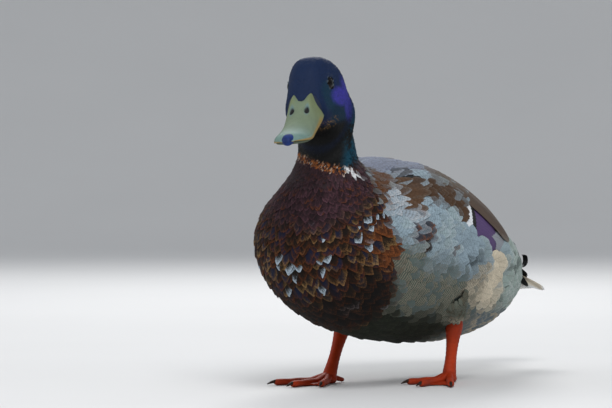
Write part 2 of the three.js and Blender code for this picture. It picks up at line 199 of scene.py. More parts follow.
SHIFT = np.zeros(3)  # head_place adds it, so it is nought until it is known
SHIFT = frame_shift()


def placed(side, forward, up):
    """A point of the body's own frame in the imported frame."""
    return np.stack(np.broadcast_arrays(side, -np.asarray(forward, float), up), -1) + SHIFT


# ---------------------------------------------------------------- the body's surface
def rung_values(rung):
    """The eight tracks at a rung; past the vent they run on straight, narrowing."""
    values = through(RUNGS, rung)
    past = np.minimum(rung, 0)[..., None]
    return values + past * TAPER * (RUNGS[1] - RUNGS[0])


def section_point(rung, angle, lift):
    """A point of the tube: the rung's middle plus its half height times cos and its half width times sin of
    the angle from the back, both pushed towards a square, with lift added to both halves."""
    back_f, back_z, belly_f, belly_z, half, pear, boxy, turn = np.moveaxis(rung_values(rung), -1, 0)
    rise = squared(np.cos(angle), boxy)
    out = squared(np.sin(angle), boxy)
    height = np.hypot(back_f - belly_f, back_z - belly_z) / 2
    share = (height + lift) / height * rise
    forward = (back_f + belly_f) / 2 + (back_f - belly_f) / 2 * share
    up = (back_z + belly_z) / 2 + (back_z - belly_z) / 2 * share
    side = (half + lift) * out * (1 + pear * rise)
    return turned(side, forward, up, turn) + SHIFT


ROUND_STEPS = 96  # samples over half a section
RUNG_STEPS = 6  # samples for each rung


def even_angles():
    """For each rung, the angles that share half the section's outline out evenly, by its running length."""
    rungs = np.linspace(0, LAST, LAST * RUNG_STEPS + 1)
    fine = np.linspace(0, math.pi, 8 * ROUND_STEPS + 1)
    points = section_point(rungs[:, None], fine[None, :], 0.0)
    steps = np.linalg.norm(np.diff(points, axis=1), axis=-1)
    run = np.concatenate([np.zeros((len(rungs), 1)), np.cumsum(steps, axis=1)], axis=1)
    share = run / run[:, -1:]
    even = np.linspace(0, 1, ROUND_STEPS + 1)
    return np.array([np.interp(even, row, fine) for row in share])


ANGLES = even_angles()


def angle_at(rung, around):
    """The section's angle at a share of its outline: 0 the back, 1 or -1 the belly, positive on the left."""
    wrapped = (np.asarray(around, float) + 1) % 2 - 1
    row = np.clip(np.asarray(rung, float), 0, LAST) * RUNG_STEPS
    column = np.abs(wrapped) * ROUND_STEPS
    row, column = np.broadcast_arrays(row, column)
    i = np.minimum(row.astype(int), LAST * RUNG_STEPS - 1)
    j = np.minimum(column.astype(int), ROUND_STEPS - 1)
    u, v = row - i, column - j
    near = lerp(ANGLES[i, j], ANGLES[i, j + 1], v)
    far = lerp(ANGLES[i + 1, j], ANGLES[i + 1, j + 1], v)
    return np.sign(wrapped) * lerp(near, far, u)


def wing_swell(rung, degrees):
    """How far the folded wing lifts the plumage: the sine of half a turn over the share from its upper to
    its lower edge, to the power 0.7, times the thickness. It fades at the shoulder and sinks to the rear."""
    u = (WING["front"] - rung) / (WING["front"] - WING["rear"])
    upper = along_curve(WING["upper"], u)
    lower = along_curve(WING["lower"], u)
    v = np.clip((np.abs(degrees) - upper) / (lower - upper), 0, 1)
    rounded = np.sin(math.pi * v) ** 0.7
    ends = smooth(u, 0, 0.25) * (1 - 0.55 * smooth(u, 0.6, 1)) * (1 - smooth(u, 1.0, 1.15))
    return (WING["edge"] * (rounded > 0) + WING["thick"] * rounded) * ends


def plumage(rung, around, lift=0.0):
    """The outer surface of the coat, lifted by so much: the tube with the folded wings on it."""
    rung = np.maximum(rung, REAR_END)
    angle = angle_at(rung, around)
    return section_point(rung, angle, lift + wing_swell(rung, np.degrees(angle)))


def coat_depth(rung):
    """How deep the coat is at a rung, on straight lines between the given depths."""
    return np.interp(rung, DEPTH_RUNGS, DEPTHS)


# ---------------------------------------------------------------- meshes
def mesh_object(name, shell, uv_maps=None, attributes=None, sharp=None):
    """Puts points, quads and triangles into a mesh object at the origin, in metres. Maps and attributes hold
    a row for each point, and all attributes but the marks are colours. Edges over sharp degrees stay so."""
    points, quads, tris = shell
    mesh = bpy.data.meshes.new(name)
    corners = np.concatenate([quads.ravel(), tris.ravel()]).astype(np.int32)
    starts = np.concatenate([np.arange(len(quads)) * 4, len(quads) * 4 + np.arange(len(tris)) * 3])
    mesh.vertices.add(len(points))
    mesh.vertices.foreach_set("co", (points * MM).astype(np.float32).ravel())
    mesh.loops.add(len(corners))
    mesh.loops.foreach_set("vertex_index", corners)
    mesh.polygons.add(len(starts))
    mesh.polygons.foreach_set("loop_start", starts.astype(np.int32))
    mesh.update(calc_edges=True)
    mesh.shade_smooth()
    for title, uv in (uv_maps or {}).items():
        layer = mesh.uv_layers.new(name=title)
        layer.uv.foreach_set("vector", uv[corners].astype(np.float32).ravel())
    for title, values in (attributes or {}).items():
        if title == "marks":
            layer = mesh.attributes.new(title, "FLOAT_VECTOR", "POINT")
            layer.data.foreach_set("vector", values.astype(np.float32).ravel())
        else:
            layer = mesh.attributes.new(title, "FLOAT_COLOR", "POINT")
            opaque = np.concatenate([values, np.ones((len(values), 1))], 1)
            layer.data.foreach_set("color", opaque.astype(np.float32).ravel())
    if sharp:
        mesh.set_sharp_from_angle(angle=math.radians(sharp))
    made = bpy.data.objects.new(name, mesh)
    bpy.context.scene.collection.objects.link(made)
    return made


def dress(made, finish, slot, *nodes):
    """Gives a piece its finish and its body, and hides the solids that it stands for; the slot is not used.
    """
    made.data.materials.append(bpy.data.materials[finish])
    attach(made, "root")
    if nodes:
        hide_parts(*nodes)
    return made


def ring_faces(rows, around, joins=False):
    """The quads of a tube of rings, where the last ring joins the first one if asked."""
    i, j = np.meshgrid(np.arange(rows if joins else rows - 1), np.arange(around), indexing="ij")
    after, beside = (i + 1) % rows, (j + 1) % around
    corners = ((i, j), (after, j), (after, beside), (i, beside))
    return np.stack([row * around + column for row, column in corners], -1).reshape(-1, 4)


def tube_shell(rings):
    """A closed tube through rings, shaped rows by around by 3, with a fan to the middle of each end."""
    rows, around = rings.shape[:2]
    hubs = np.stack([rings[0].mean(0), rings[-1].mean(0)])
    points = np.concatenate([rings.reshape(-1, 3), hubs])
    j = np.arange(around)
    k = (j + 1) % around
    first = rows * around
    end = (rows - 1) * around
    tris = np.concatenate(
        [
            np.stack([np.full(around, first), j, k], -1),
            np.stack([np.full(around, first + 1), end + k, end + j], -1),
        ]
    )
    return outward((points, ring_faces(rows, around), tris))


def plate_shell(top, bottom):
    """Two grids of the same size, stitched along their rims."""
    rows, columns = top.shape[:2]
    i, j = np.meshgrid(np.arange(rows - 1), np.arange(columns - 1), indexing="ij")
    a = i * columns + j
    upper = np.stack([a, a + 1, a + columns + 1, a + columns], -1).reshape(-1, 4)
    sheet = rows * columns
    rim = np.concatenate(
        [
            np.arange(columns - 1),
            np.arange(rows - 1) * columns + columns - 1,
            (rows - 1) * columns + np.arange(columns - 1, 0, -1),
            np.arange(rows - 1, 0, -1) * columns,
        ]
    )
    after = np.roll(rim, -1)
    edge = np.stack([rim, rim + sheet, after + sheet, after], -1)
    points = np.concatenate([top.reshape(-1, 3), bottom.reshape(-1, 3)])
    quads = np.concatenate([upper, upper[:, ::-1] + sheet, edge])
    return outward((points, quads, np.zeros((0, 3), int)))


def outward(shell):
    """Turns every face round if the shell's volume comes out negative."""
    points, quads, tris = shell
    fans = np.concatenate([quads[:, [0, 1, 2]], quads[:, [0, 2, 3]], tris])
    a, b, c = (points[fans[:, k]] - points[0] for k in range(3))
    if np.einsum("ij,ij->i", a, np.cross(b, c)).sum() < 0:
        return points, quads[:, ::-1], tris[:, ::-1]
    return shell


def joined(shells):
    """Several shells as one."""
    starts = np.cumsum([0] + [len(points) for points, _, _ in shells[:-1]])
    return (
        np.concatenate([points for points, _, _ in shells]),
        np.concatenate([quads + s for s, (_, quads, _) in zip(starts, shells)]),
        np.concatenate([tris + s for s, (_, _, tris) in zip(starts, shells)]),
    )


def swept(path, widths, heights, around, roll=0.0):
    """A tube of ellipses along a path, square to it, with each width level before the roll in degrees."""
    ahead = unit(np.gradient(path, axis=0))
    upright = np.abs(ahead[:, 2:3]) > 0.95
    lean = np.where(upright, np.array([[0.0, -1, 0]]), np.array([[0.0, 0, 1]]))
    across = unit(np.cross(ahead, lean))
    above = np.cross(across, ahead)
    a = np.arange(around) / around * FULL_TURN + math.radians(roll)
    wide = np.asarray(widths)[:, None, None] * np.cos(a)[None, :, None]
    tall = np.asarray(heights)[:, None, None] * np.sin(a)[None, :, None]
    return path[:, None] + across[:, None] * wide + above[:, None] * tall


# ---------------------------------------------------------------- feathers
def vane_width(t, kind):
    """Half width along a vane as a share of its widest: soft ones widen fast, quills stay even."""
    if kind == "quill":
        return lerp(0.45, 1.0, smooth(t, 0, 0.25)) * np.sqrt(1 - 0.8 * smooth(t, 0.72, 1.04) ** 2)
    return lerp(0.45, 1.0, smooth(t, 0, 0.45)) * np.sqrt(1 - 0.72 * np.clip((t - 0.45) / 0.55, 0, 1) ** 2)


def vane_shares(count, steps, across, notch, rounding, rng):
    """t along and s across each vane. The last rows bow back towards the edges and are notched at random."""
    s = np.linspace(-1, 1, across)[None, None, :]
    even = (np.linspace(0, 1, steps) ** 0.7)[None, :, None]
    late = smooth(even, 0.45, 1.0)
    ragged = rng.uniform(0, 1, (count, 1, across))
    t = even * (1 - late * (rounding * s * s + notch * ragged))
    return t, np.broadcast_to(s, t.shape)


def blade_shells(points):
    """Closed blades from top surfaces, shaped count by steps by across by 3: each underside is one strip
    between the two edges, and root and tip are closed by fans."""
    count, steps, across = points.shape[:3]
    base = (np.arange(count) * steps * across)[:, None, None]
    i, j = np.meshgrid(np.arange(steps - 1), np.arange(across - 1), indexing="ij")
    a = (i * across + j)[None] + base
    top = np.stack([a, a + 1, a + across + 1, a + across], -1).reshape(-1, 4)
    row = (np.arange(steps - 1) * across)[None, :, None] + base
    far = row + across - 1
    under = np.stack([row, row + across, far + across, far], -1).reshape(-1, 4)
    k = np.arange(1, across - 1)[None, None, :]
    root = np.stack(np.broadcast_arrays(base, base + k + 1, base + k), -1).reshape(-1, 3)
    end = base + (steps - 1) * across
    tip = np.stack(np.broadcast_arrays(end, end + k, end + k + 1), -1).reshape(-1, 3)
    return points.reshape(-1, 3), np.concatenate([top, under]), np.concatenate([root, tip])


def local_scale(surface, u, v):
    """Millimetres for each unit of u and of v, from small steps on the surface."""
    step = 1e-3
    along = np.linalg.norm(surface(u + step, v) - surface(u - step, v), axis=-1) / (2 * step)
    across = np.linalg.norm(surface(u, v + step) - surface(u, v - step), axis=-1) / (2 * step)
    return np.maximum(along, 2.0), np.maximum(across, 2.0)


def interpolate_rows(line, t):
    """Values or points of a centreline, count by steps, at shares t, count by steps by across."""
    last = line.shape[1] - 1
    at = np.clip(t, 0, 1) * last
    i = np.minimum(at.astype(int), last - 1)
    f = at - i
    if line.ndim > 2:
        f = f[..., None]
    rows = np.arange(len(line))[:, None, None]
    return lerp(line[rows, i], line[rows, i + 1], f)


def lay_vanes(surface, line_u, line_v, t, s, half, lift, arch=0.16, tilt=0.0):
    """Vanes laid on a surface. line_u and line_v are each centreline from root to tip. A point at t goes s
    times the half width square to the line, and rises by lift, by the arch in the middle and by the tilt."""
    per_u, per_v = (scale[..., None] for scale in local_scale(surface, line_u[:, 0], line_v[:, 0]))
    du = np.gradient(line_u, axis=1) * per_u
    dv = np.gradient(line_v, axis=1) * per_v
    span = np.maximum(np.hypot(du, dv), 1e-9)
    cross_u = interpolate_rows(dv / span / per_u, t)
    cross_v = interpolate_rows(-du / span / per_v, t)
    reach = s * half
    rise = lift + arch * (1 - s * s) * half + tilt * s
    u = interpolate_rows(line_u, t) + cross_u * reach
    v = interpolate_rows(line_v, t) + cross_v * reach
    return surface(u, v, rise)


def unwrap(rung, around):
    """Where a place of the skin lies on its own unwrap: round the body across, vent to bill up."""
    wrapped = (np.asarray(around, float) + 1) % 2 - 1
    return np.stack([0.02 + 0.96 * (wrapped + 1) / 2, 0.02 + 0.9 * np.clip(rung, 0, LAST) / LAST], -1)


TUFT_PATCH = 0.003  # how much of the skin's unwrap one feather takes
BLADE_SHARP = 55  # degrees past which a blade's edge stays sharp


def feather_object(name, points, t, s, roots, coat, finish, slot, *nodes):
    """One joined mesh of blades, with each feather's patch on the skin's unwrap, its own vane map, and its
    row of the coat's colours. roots holds where each feather's root lies on the unwrap."""
    each = points.shape[1] * points.shape[2]
    vane = np.stack([(s + 1) / 2, t], -1).reshape(-1, 2)
    maps = {"OFBake": np.repeat(roots, each, axis=0) + (vane - 0.5) * TUFT_PATCH, "Vane": vane}
    spread = {key: np.repeat(values, each, axis=0) for key, values in coat.columns().items()}
    made = mesh_object(name, blade_shells(points), maps, spread, BLADE_SHARP)
    return dress(made, finish, slot, *nodes)


# ---------------------------------------------------------------- colours and sizes a user would change
def ink(code):
    """A colour written as six hexadecimal digits, in the linear values that shaders use."""
    steps = np.array([int(code[i : i + 2], 16) / 255 for i in (1, 3, 5)])
    return np.where(steps <= 0.04045, steps / 12.92, ((steps + 0.055) / 1.055) ** 2.4)


def tint(label, description, code):
    """A colour property whose default is given as six hexadecimal digits."""
    return FloatVectorProperty(
        name=label, description=description, subtype="COLOR", size=3, min=0, max=1, default=tuple(ink(code))
    )


class DrakeColours(PropertyGroup):
    """The drake's markings."""

    # Painted sheen: the crown's blue, the cheek's violet, the lore's teal and the neck's green are the hues
    # that the glossy dark feathers show from one side, laid in as colour.
    crown: tint("Crown", "Dark blue of the top of the head", "#0d2142")
    cheek: tint("Cheek", "Violet patch behind and below the eye", "#3b3696")
    lore: tint("Lore", "Teal between the eye and the bill", "#0a2f42")
    throat: tint("Throat", "Black of the throat and the front of the neck", "#060707")
    neck: tint("Neck", "Green gloss low on the neck", "#05384a")
    band: tint("Neck band", "Orange-brown flecks at the foot of the neck", "#a8622c")
    collar: tint("Collar", "The few white feathers of the collar", "#d8dadc")
    upper_breast: tint("Upper breast", "Dark purple-brown under the neck", "#2c1b20")
    breast: tint("Breast", "Dark centres of the breast feathers", "#17110d")
    chestnut: tint("Chestnut", "Edges of the breast feathers", "#74401f")
    buff: tint("Buff", "Paler edges of the breast feathers", "#b08a58")
    frost: tint("Frost", "Blue-white tips of some breast feathers", "#aebecb")
    flank: tint("Flank", "Pale grey of the flanks and shoulders", "#8b9da8")
    bars: tint("Bars", "Fine dark bars of the flanks", "#343b38")
    mantle: tint("Mantle", "Grey-brown of the back", "#625a52")
    brown: tint("Brown", "Brown of the shoulder feathers and tertials", "#4a3627")
    spine: tint("Spine", "Blue-grey along the middle of the back", "#767d8e")
    # Painted shade: the belly's dark olive is the shade under the body.
    belly: tint("Belly", "Dark olive of the belly", "#20241a")
    cream: tint("Cream", "Cream behind the legs", "#cfc4ae")
    rump: tint("Rump side", "Grey-white of the sides of the rump", "#98a8a2")
    black: tint("Black", "Black of the rump and the curled feathers", "#0a0c0e")
    mirror: tint("Wing mirror", "Violet patch of the wing", "#54406c")
    bar: tint("Wing bar", "White bar before the mirror", "#e2e6ea")
    primaries: tint("Wing tips", "Grey of the longest wing feathers", "#8a8f96")
    bill: tint("Bill", "Grey-olive of the bill", "#6a7862")
    # Painted sheen: the bluish light on the bill, laid on towards its tip and round its nostrils.
    bill_tip: tint("Bill tip", "Cool pale blue-green towards the bill's tip", "#618486")
    bill_edge: tint("Bill edge", "Yellow-orange of the bill's cutting edge", "#94752e")
    nail: tint("Nail", "Dark blue of the bill's nail", "#122a62")
    leg: tint("Leg", "Orange-red of the legs and feet", "#9c2e08")
    claw: tint("Claw", "Dark horn of the claws", "#2a1a12")
    iris: tint("Iris", "Dark brown of the eye", "#120804")


class DrakeSizes(PropertyGroup):
    """The drake's coat and the picture's camera."""

    body_feather: FloatProperty(
        name="Body feather", description="Length of a flank feather", default=0.023, unit="LENGTH"
    )
    head_feather: FloatProperty(
        name="Crown feather", description="Length of a crown feather", default=0.0034, unit="LENGTH"
    )
    pupil: FloatProperty(name="Pupil", description="Radius of the pupil", default=0.0024, unit="LENGTH")
    tail_feathers: IntProperty(name="Tail feathers", description="How many the fan has", default=18, min=8)
    lens: FloatProperty(name="Lens", description="Focal length of the camera", default=170.0)


def colour(name):
    """One of the drake's colours as an array."""
    return np.array(getattr(bpy.context.scene.drake_colours, name))


def size(name):
    """One of the drake's sizes in millimetres."""
    return getattr(bpy.context.scene.drake_sizes, name) / MM


# ---------------------------------------------------------------- markings
def patch(rung, degrees, at, reach):
    """1 in the middle of an ellipse on the body's rungs and angles, 0 outside it, soft at its edge."""
    away = np.hypot((rung - at[0]) / reach[0], (np.abs(degrees) - at[1]) / reach[1])
    return 1 - smooth(away, 0.7, 1.25)


def drift(points, wave, seed):
    """Slow waves over the body from -1 to 1: sines of the place along three slanted directions."""
    x, y, z = np.moveaxis(points / wave, -1, 0)
    first = np.sin(x + 1.7 * y + seed) + np.sin(y - 1.3 * z + 2.1 * seed)
    return (first + np.sin(z + 0.8 * x + 3.7 * seed)) / 3


def head_frame(points):
    """A place in the head's own frame: side, along the bill, above the eyes."""
    local = points - SHIFT
    a = math.radians(HEAD["turn"])
    x, y = local[..., 0], -local[..., 1] - NECK_AXIS
    side = x * math.cos(a) - y * math.sin(a)
    forward = NECK_AXIS + x * math.sin(a) + y * math.cos(a) - HEAD["forward"]
    up = local[..., 2] - HEAD["up"]
    c = math.radians(HEAD["lean"])
    side, up = side * math.cos(c) + up * math.sin(c), up * math.cos(c) - side * math.sin(c)
    b = math.radians(HEAD["pitch"])
    return side, forward * math.cos(b) - up * math.sin(b), forward * math.sin(b) + up * math.cos(b)


class Coat:
    """Colours of many feathers at once: ground, fringe, ink, and marks (fringe width, bars, dark centre)."""

    def __init__(self, count):
        """Every feather is black and unmarked until colours are laid on it."""
        self.ground, self.fringe, self.ink, self.marks = np.zeros((4, count, 3))

    def lay(self, share, ground=None, fringe=None, ink_colour=None, marks=None):
        """Moves each feather's colours towards new ones by its share."""
        share = np.broadcast_to(share, len(self.ground))[:, None]
        for name, value in (("ground", ground), ("fringe", fringe), ("ink", ink_colour), ("marks", marks)):
            if value is not None:
                setattr(self, name, lerp(getattr(self, name), np.asarray(value, float), share))

    def shade(self, factor):
        """Makes each feather lighter or darker."""
        self.ground = self.ground * factor[:, None]
        self.fringe = self.fringe * factor[:, None]

    def columns(self):
        """The colours by the names that the materials read."""
        return {"ground": self.ground, "fringe": self.fringe, "ink": self.ink, "marks": self.marks}


NECK_FOOT = {"middle": 153.5, "slope": 0.28}


def neck_foot(points):
    """How high the foot of the neck runs: lower on the left side than on the right."""
    side = points[..., 0] - SHIFT[0]
    return NECK_FOOT["middle"] - NECK_FOOT["slope"] * side


# Patches of the back, flank and belly. Each row: the middle and the reach in rungs and in degrees from the
# back, the colours of the vane, its fringe and its ink with how light each is, the marks (fringe width,
# bars, dark centre), and the share of the feathers that take them.
BODY_PATCHES = [
    ((5.3, 18), (1.5, 34), ("mantle", 0.9), ("mantle", 1.3), ("brown", 0.6), (0.3, 0.3, 0.2), 0.9),
    ((7.4, 14), (1.9, 26), ("spine", 0.95), ("spine", 1.35), ("mantle", 0.8), (0.3, 0.25, 0.0), 0.95),
    ((9.7, 30), (1.2, 60), ("mantle", 0.8), ("spine", 0.9), ("brown", 0.6), (0.3, 0.3, 0.2), 0.9),
    ((8.9, 52), (0.9, 22), ("band", 0.26), ("mantle", 1.1), ("brown", 0.6), (0.3, 0.6, 0.2), 0.8),
    ((8.6, 76), (0.45, 12), ("brown", 1.1), ("band", 0.6), ("brown", 0.5), (0.3, 0.3, 0.3), 0.7),
    ((7.3, 54), (0.8, 15), ("brown", 1.3), ("mantle", 1.1), ("brown", 0.6), (0.3, 0.3, 0.2), 0.85),
    ((5.95, 57), (0.75, 11), ("brown", 1.1), ("mantle", 1.0), ("brown", 0.5), (0.3, 0.2, 0.3), 0.9),
    ((5.3, 66), (0.35, 6), ("brown", 1.3), ("mantle", 0.9), ("brown", 0.5), (0.3, 0.2, 0.2), 0.9),
    ((8.15, 70), (0.6, 15), ("frost", 0.7), ("collar", 0.75), ("mantle", 0.7), (0.4, 0.4, 0.0), 0.85),
    ((7.25, 74), (0.55, 12), ("frost", 0.62), ("collar", 0.65), ("mantle", 0.6), (0.4, 0.4, 0.0), 0.8),
    ((7.1, 66), (0.32, 10), ("brown", 1.5), ("mantle", 1.1), ("brown", 0.6), (0.3, 0.3, 0.2), 0.85),
    ((7.0, 41), (0.3, 8), ("black", 1.5), ("brown", 0.8), ("black", 1.0), (0.25, 0.0, 0.5), 0.8),
    ((6.62, 88), (0.36, 8), ("spine", 0.4), ("band", 0.55), ("black", 1.5), (0.35, 0.1, 0.6), 0.8),
    ((6.4, 93), (0.18, 4), ("brown", 0.6), ("flank", 0.7), ("black", 1.0), (0.3, 0.2, 0.5), 0.7),
    ((5.53, 90), (0.12, 3), ("brown", 0.9), ("band", 0.5), ("brown", 0.4), (0.3, 0.2, 0.5), 0.8),
    ((4.75, 91), (0.25, 2.5), ("flank", 0.4), ("flank", 0.7), ("bars", 0.8), (0.3, 0.6, 0.3), 0.6),
    ((3.75, 100), (0.45, 24), ("cream", 1.0), ("cream", 1.2), ("mantle", 0.8), (0.3, 0.3, 0.0), 0.85),
    ((4.3, 104), (0.3, 12), ("cream", 0.6), ("cream", 1.0), ("bars", 1.2), (0.3, 0.7, 0.0), 0.6),
]


def paint_patches(coat, rung, degrees, slow, pick):
    """Lays the body's patches one after the other; slow waves make their edges wander."""
    for number, (at, reach, *tones, marks, many) in enumerate(BODY_PATCHES):
        inside = patch(rung + 0.12 * slow, degrees + 3.0 * slow, at, reach)
        chance = (pick[:, number % 4] + 0.37 * number) % 1
        ground, fringe, inked = (colour(name) * light for name, light in tones)
        share = inside * np.where(chance < many, 1.0, 0.5)
        coat.lay(share, ground, fringe, inked, marks)


def barred_green():
    """The ground of the low flank and the shins, between the flank's grey and the belly's olive, so partly
    painted shade.
    """
    return lerp(colour("flank"), colour("belly"), 0.82) * [1.0, 1.1, 0.85]


def paint_body(coat, rung, degrees, points, pick):
    """Back, flanks, belly and rump. pick holds four random numbers from 0 to 1 for each feather."""
    d = np.abs(degrees)
    slow = drift(points, 14, 1.0)
    coat.lay(1.0, colour("flank"), colour("flank") * 1.15, colour("bars"), [0.35, 0.3, 0.0])
    coat.lay(smooth(slow + pick[:, 0], 0.75, 1.2) * 0.35, colour("rump"), colour("collar") * 0.9)
    # Partly painted shade: the low flank turns to the darker barred green.
    low = smooth(d + 7 * slow, 92, 108)
    green = barred_green()
    coat.lay(low, green, colour("cream") * 0.32, colour("cream") * 0.42, [0.3, 0.85, 0.0])
    tipped = low * (pick[:, 1] < 0.3) * 0.6
    coat.lay(tipped, colour("flank") * [0.34, 0.42, 0.38], colour("flank") * 0.5, colour("bars"))
    # Painted shade: the belly and underside take the belly's dark olive.
    belly = smooth(d + 7 * slow, 124, 144) * smooth(rung, 3.6, 4.6)
    coat.lay(belly, colour("belly"), colour("belly") * 1.6, colour("black"), [0.3, 0.5, 0.2])
    # Painted shade: the underside behind the legs at half the flank's grey, with cream fringes and flecks.
    rear = smooth(d + 5 * slow, 112, 132) * (1 - smooth(rung, 3.4, 4.4))
    coat.lay(rear, colour("flank") * 0.5, colour("cream") * 0.6, colour("bars"), [0.35, 0.4, 0.1])
    coat.lay(rear * (pick[:, 3] < 0.4), colour("cream") * 0.55, colour("cream") * 0.8)
    paint_patches(coat, rung, d, slow, pick)
    haunch = (1 - smooth(rung, 3.1, 3.6)) * smooth(d, 44, 60) * (1 - smooth(d, 112, 130))
    coat.lay(haunch, colour("rump"), colour("collar") * 0.9, colour("mantle"), [0.3, 0.2, 0.0])
    flecked = haunch * (pick[:, 0] < 0.25)
    coat.lay(flecked, colour("rump") * 0.8, colour("rump"), colour("black"), [0.35, 0.7, 0.3])
    dark = (1 - smooth(rung + 0.2 * slow, 1.2, 1.8)) * (1 - smooth(d, 48, 66))
    dark = np.maximum(dark, (1 - smooth(rung, 0.7, 1.1)) * smooth(d, 105, 125) * (pick[:, 2] < 0.6))
    coat.lay(dark, colour("black"), colour("black") * 1.6, colour("black"), [0.2, 0.0, 0.0])


# The breast's edge: degrees from the back, and the rung where the breast ends there.
BREAST_EDGE = (
    [0, 45, 57, 70, 84, 92, 100, 112, 126, 180],
    [11.4, 11.0, 10.3, 9.6, 8.9, 7.8, 6.9, 6.6, 6.3, 5.9],
)


def paint_breast(coat, rung, degrees, points, pick):
    """The mottled breast: brown to blue-black centres, chestnut or buff edges and a few frosted tips, with
    purple-brown above, rust on the sides and painted shade that darkens the underside."""
    d = np.abs(degrees)
    slow = drift(points, 11, 2.0)
    breast = smooth(rung + 0.2 * slow - np.interp(d, *BREAST_EDGE), -0.15, 0.2)
    edge = lerp(colour("chestnut"), colour("buff"), smooth(pick[:, [0]] + 0.3 * slow[:, None], 0.45, 1.0))
    edge = edge * lerp(0.3, 0.85, pick[:, [3]])
    heart = lerp(colour("breast") * 0.6, colour("crown") * 0.5, smooth(pick[:, [2]], 0.4, 0.9))
    coat.lay(breast, lerp(colour("breast"), edge, 0.2), edge, heart, [0.38, 0.05, 0.85])
    frosted = breast * (pick[:, 1] + 0.35 * slow > 0.9) * (1 - smooth(rung, 9.6, 10.2))
    coat.lay(frosted, colour("breast") * 1.5, colour("frost"), colour("breast"), [0.5, 0.0, 0.75])
    upper = breast * smooth(rung + 0.4 * slow, 8.9, 9.9)
    plum = colour("upper_breast") * lerp(0.8, 2.6, pick[:, [2]])
    coat.lay(upper, plum, plum * 2.2, colour("black"), [0.32, 0.0, 0.5])
    rosy = upper * (pick[:, 0] < 0.2)
    coat.lay(rosy, colour("upper_breast") * 1.6, colour("chestnut") * 0.9, colour("black"), [0.35, 0.0, 0.5])
    rusty = breast * patch(rung, d, (7.6, 104), (0.8, 16)) * (pick[:, 3] < 0.75)
    coat.lay(rusty, colour("chestnut") * 0.65, colour("chestnut") * 1.15, colour("breast"), [0.4, 0.1, 0.6])
    # Painted shade: the breast darker where it turns under the body.
    under = breast * (1 - smooth(rung + 0.3 * slow, 6.7, 7.6)) * smooth(d, 112, 130)
    coat.lay(under, colour("breast") * 0.8, colour("chestnut") * 0.35, colour("black"), [0.3, 0.1, 0.5])


def paint_head(coat, rung, degrees, points, pick):
    """Dark glossy feathers with painted sheen: a blue crown, a violet cheek that runs down the nape, a teal
    lore and a blue-green gloss low on the neck's sides are the hues of their iridescence from one side, laid
    in as colour. Also a black throat, the flecked band and the remains of a white collar."""
    side, along, above = head_frame(points)
    d = np.abs(degrees)
    z = points[:, 2]
    slow = drift(points, 5, 3.0)
    foot = neck_foot(points)
    neck = smooth(z - foot + 1.2 * slow, -1.5, 1.5) * smooth(rung, 10.7, 11.4)
    coat.lay(neck, colour("throat"), colour("throat") * 2.0, colour("black"), [0.3, 0.0, 0.0])
    # Painted sheen: the blue-green low on the neck's sides.
    gloss = neck * (1 - smooth(d, 96, 128)) * (1 - smooth(rung, 13.6, 15.0))
    gloss = gloss * smooth(slow + 1.5 * pick[:, 0], 0.2, 0.9)
    coat.lay(gloss, colour("neck"), colour("neck") * 1.6)
    # Painted sheen down to the violet: blue on the crown, teal on the lore and jaw, violet on the cheek and
    # nape.
    skull = smooth(rung + 0.01 * above, 13.6, 15.2)
    wide = smooth(np.abs(side), 7, 13)
    coat.lay(skull, colour("crown"), colour("crown") * 1.5, colour("black"), [0.3, 0.0, 0.0])
    lore = skull * wide * (1 - smooth(np.hypot((along - 8) / 12, (above + 8) / 11), 0.6, 1.2))
    coat.lay(lore * 0.85, colour("lore"), colour("lore") * 1.4)
    jaw = skull * wide * (1 - smooth(np.hypot((along + 2) / 17, (above + 23) / 9), 0.6, 1.2))
    coat.lay(jaw * 0.8, colour("lore") * 0.75, colour("lore"))
    cheek = 1 - smooth(np.hypot((along + 9) / 15, (above + 13.5 - 0.25 * (along + 9)) / 7), 0.6, 1.2)
    nape = 1 - smooth(np.hypot((along + 19) / 9, (above + 20) / 17), 0.6, 1.2)
    violet = skull * wide * np.maximum(cheek, 0.85 * nape) * lerp(0.55, 1.0, pick[:, 2])
    coat.lay(violet, colour("cheek"), colour("cheek") * 1.5)
    chin = skull * smooth(-above + 0.22 * along, 26, 31) * (1 - 0.5 * nape)
    coat.lay(chin, colour("throat"), colour("throat") * 1.8)
    gape = skull * (1 - smooth(np.hypot((along - 14) / 2.5, above + 25.5), 3, 6)) * (pick[:, 1] < 0.3)
    coat.lay(gape * 0.8, colour("buff") * 0.45, colour("buff") * 0.9)
    socket = np.hypot(along - EYE["along"], above - EYE["above"])
    upper = smooth(above - EYE["above"], -2.0, 3.0)
    ring = skull * wide * (1 - smooth(socket, 5.5, 7.5)) * (pick[:, 2] < 0.15 + 0.2 * upper)
    coat.lay(ring * 0.7, colour("flank") * 0.2, colour("flank") * 0.6, marks=[0.45, 0.0, 0.0])
    band = (1 - smooth(np.abs(z - foot), 1.8, 3.4)) * smooth(d, 74, 96) * smooth(rung, 10.6, 11.2)
    speckle = band * (pick[:, 3] < 0.62)
    coat.lay(speckle, colour("throat") * 2, colour("band"), colour("breast"), [0.6, 0.0, 0.4])
    pale = band * (pick[:, 0] < 0.14)
    coat.lay(pale, colour("buff") * 0.6, colour("collar") * 0.8, colour("band"), [0.5, 0, 0])
    streak = 1 - smooth(np.hypot((rung - 10.9) / 0.75, (d - 93 - 22 * (rung - 10.9)) / 6), 0.5, 1.1)
    coat.lay(streak, colour("collar"), colour("collar"), colour("flank"), [0.2, 0, 0])


def paint(rung, degrees, points, rng):
    """All the markings at once; the skin and every contour feather take theirs from here."""
    coat = Coat(len(rung))
    pick = rng.uniform(0, 1, (len(rung), 4))
    paint_body(coat, rung, degrees, points, pick)
    paint_breast(coat, rung, degrees, points, pick)
    paint_head(coat, rung, degrees, points, pick)
    return coat


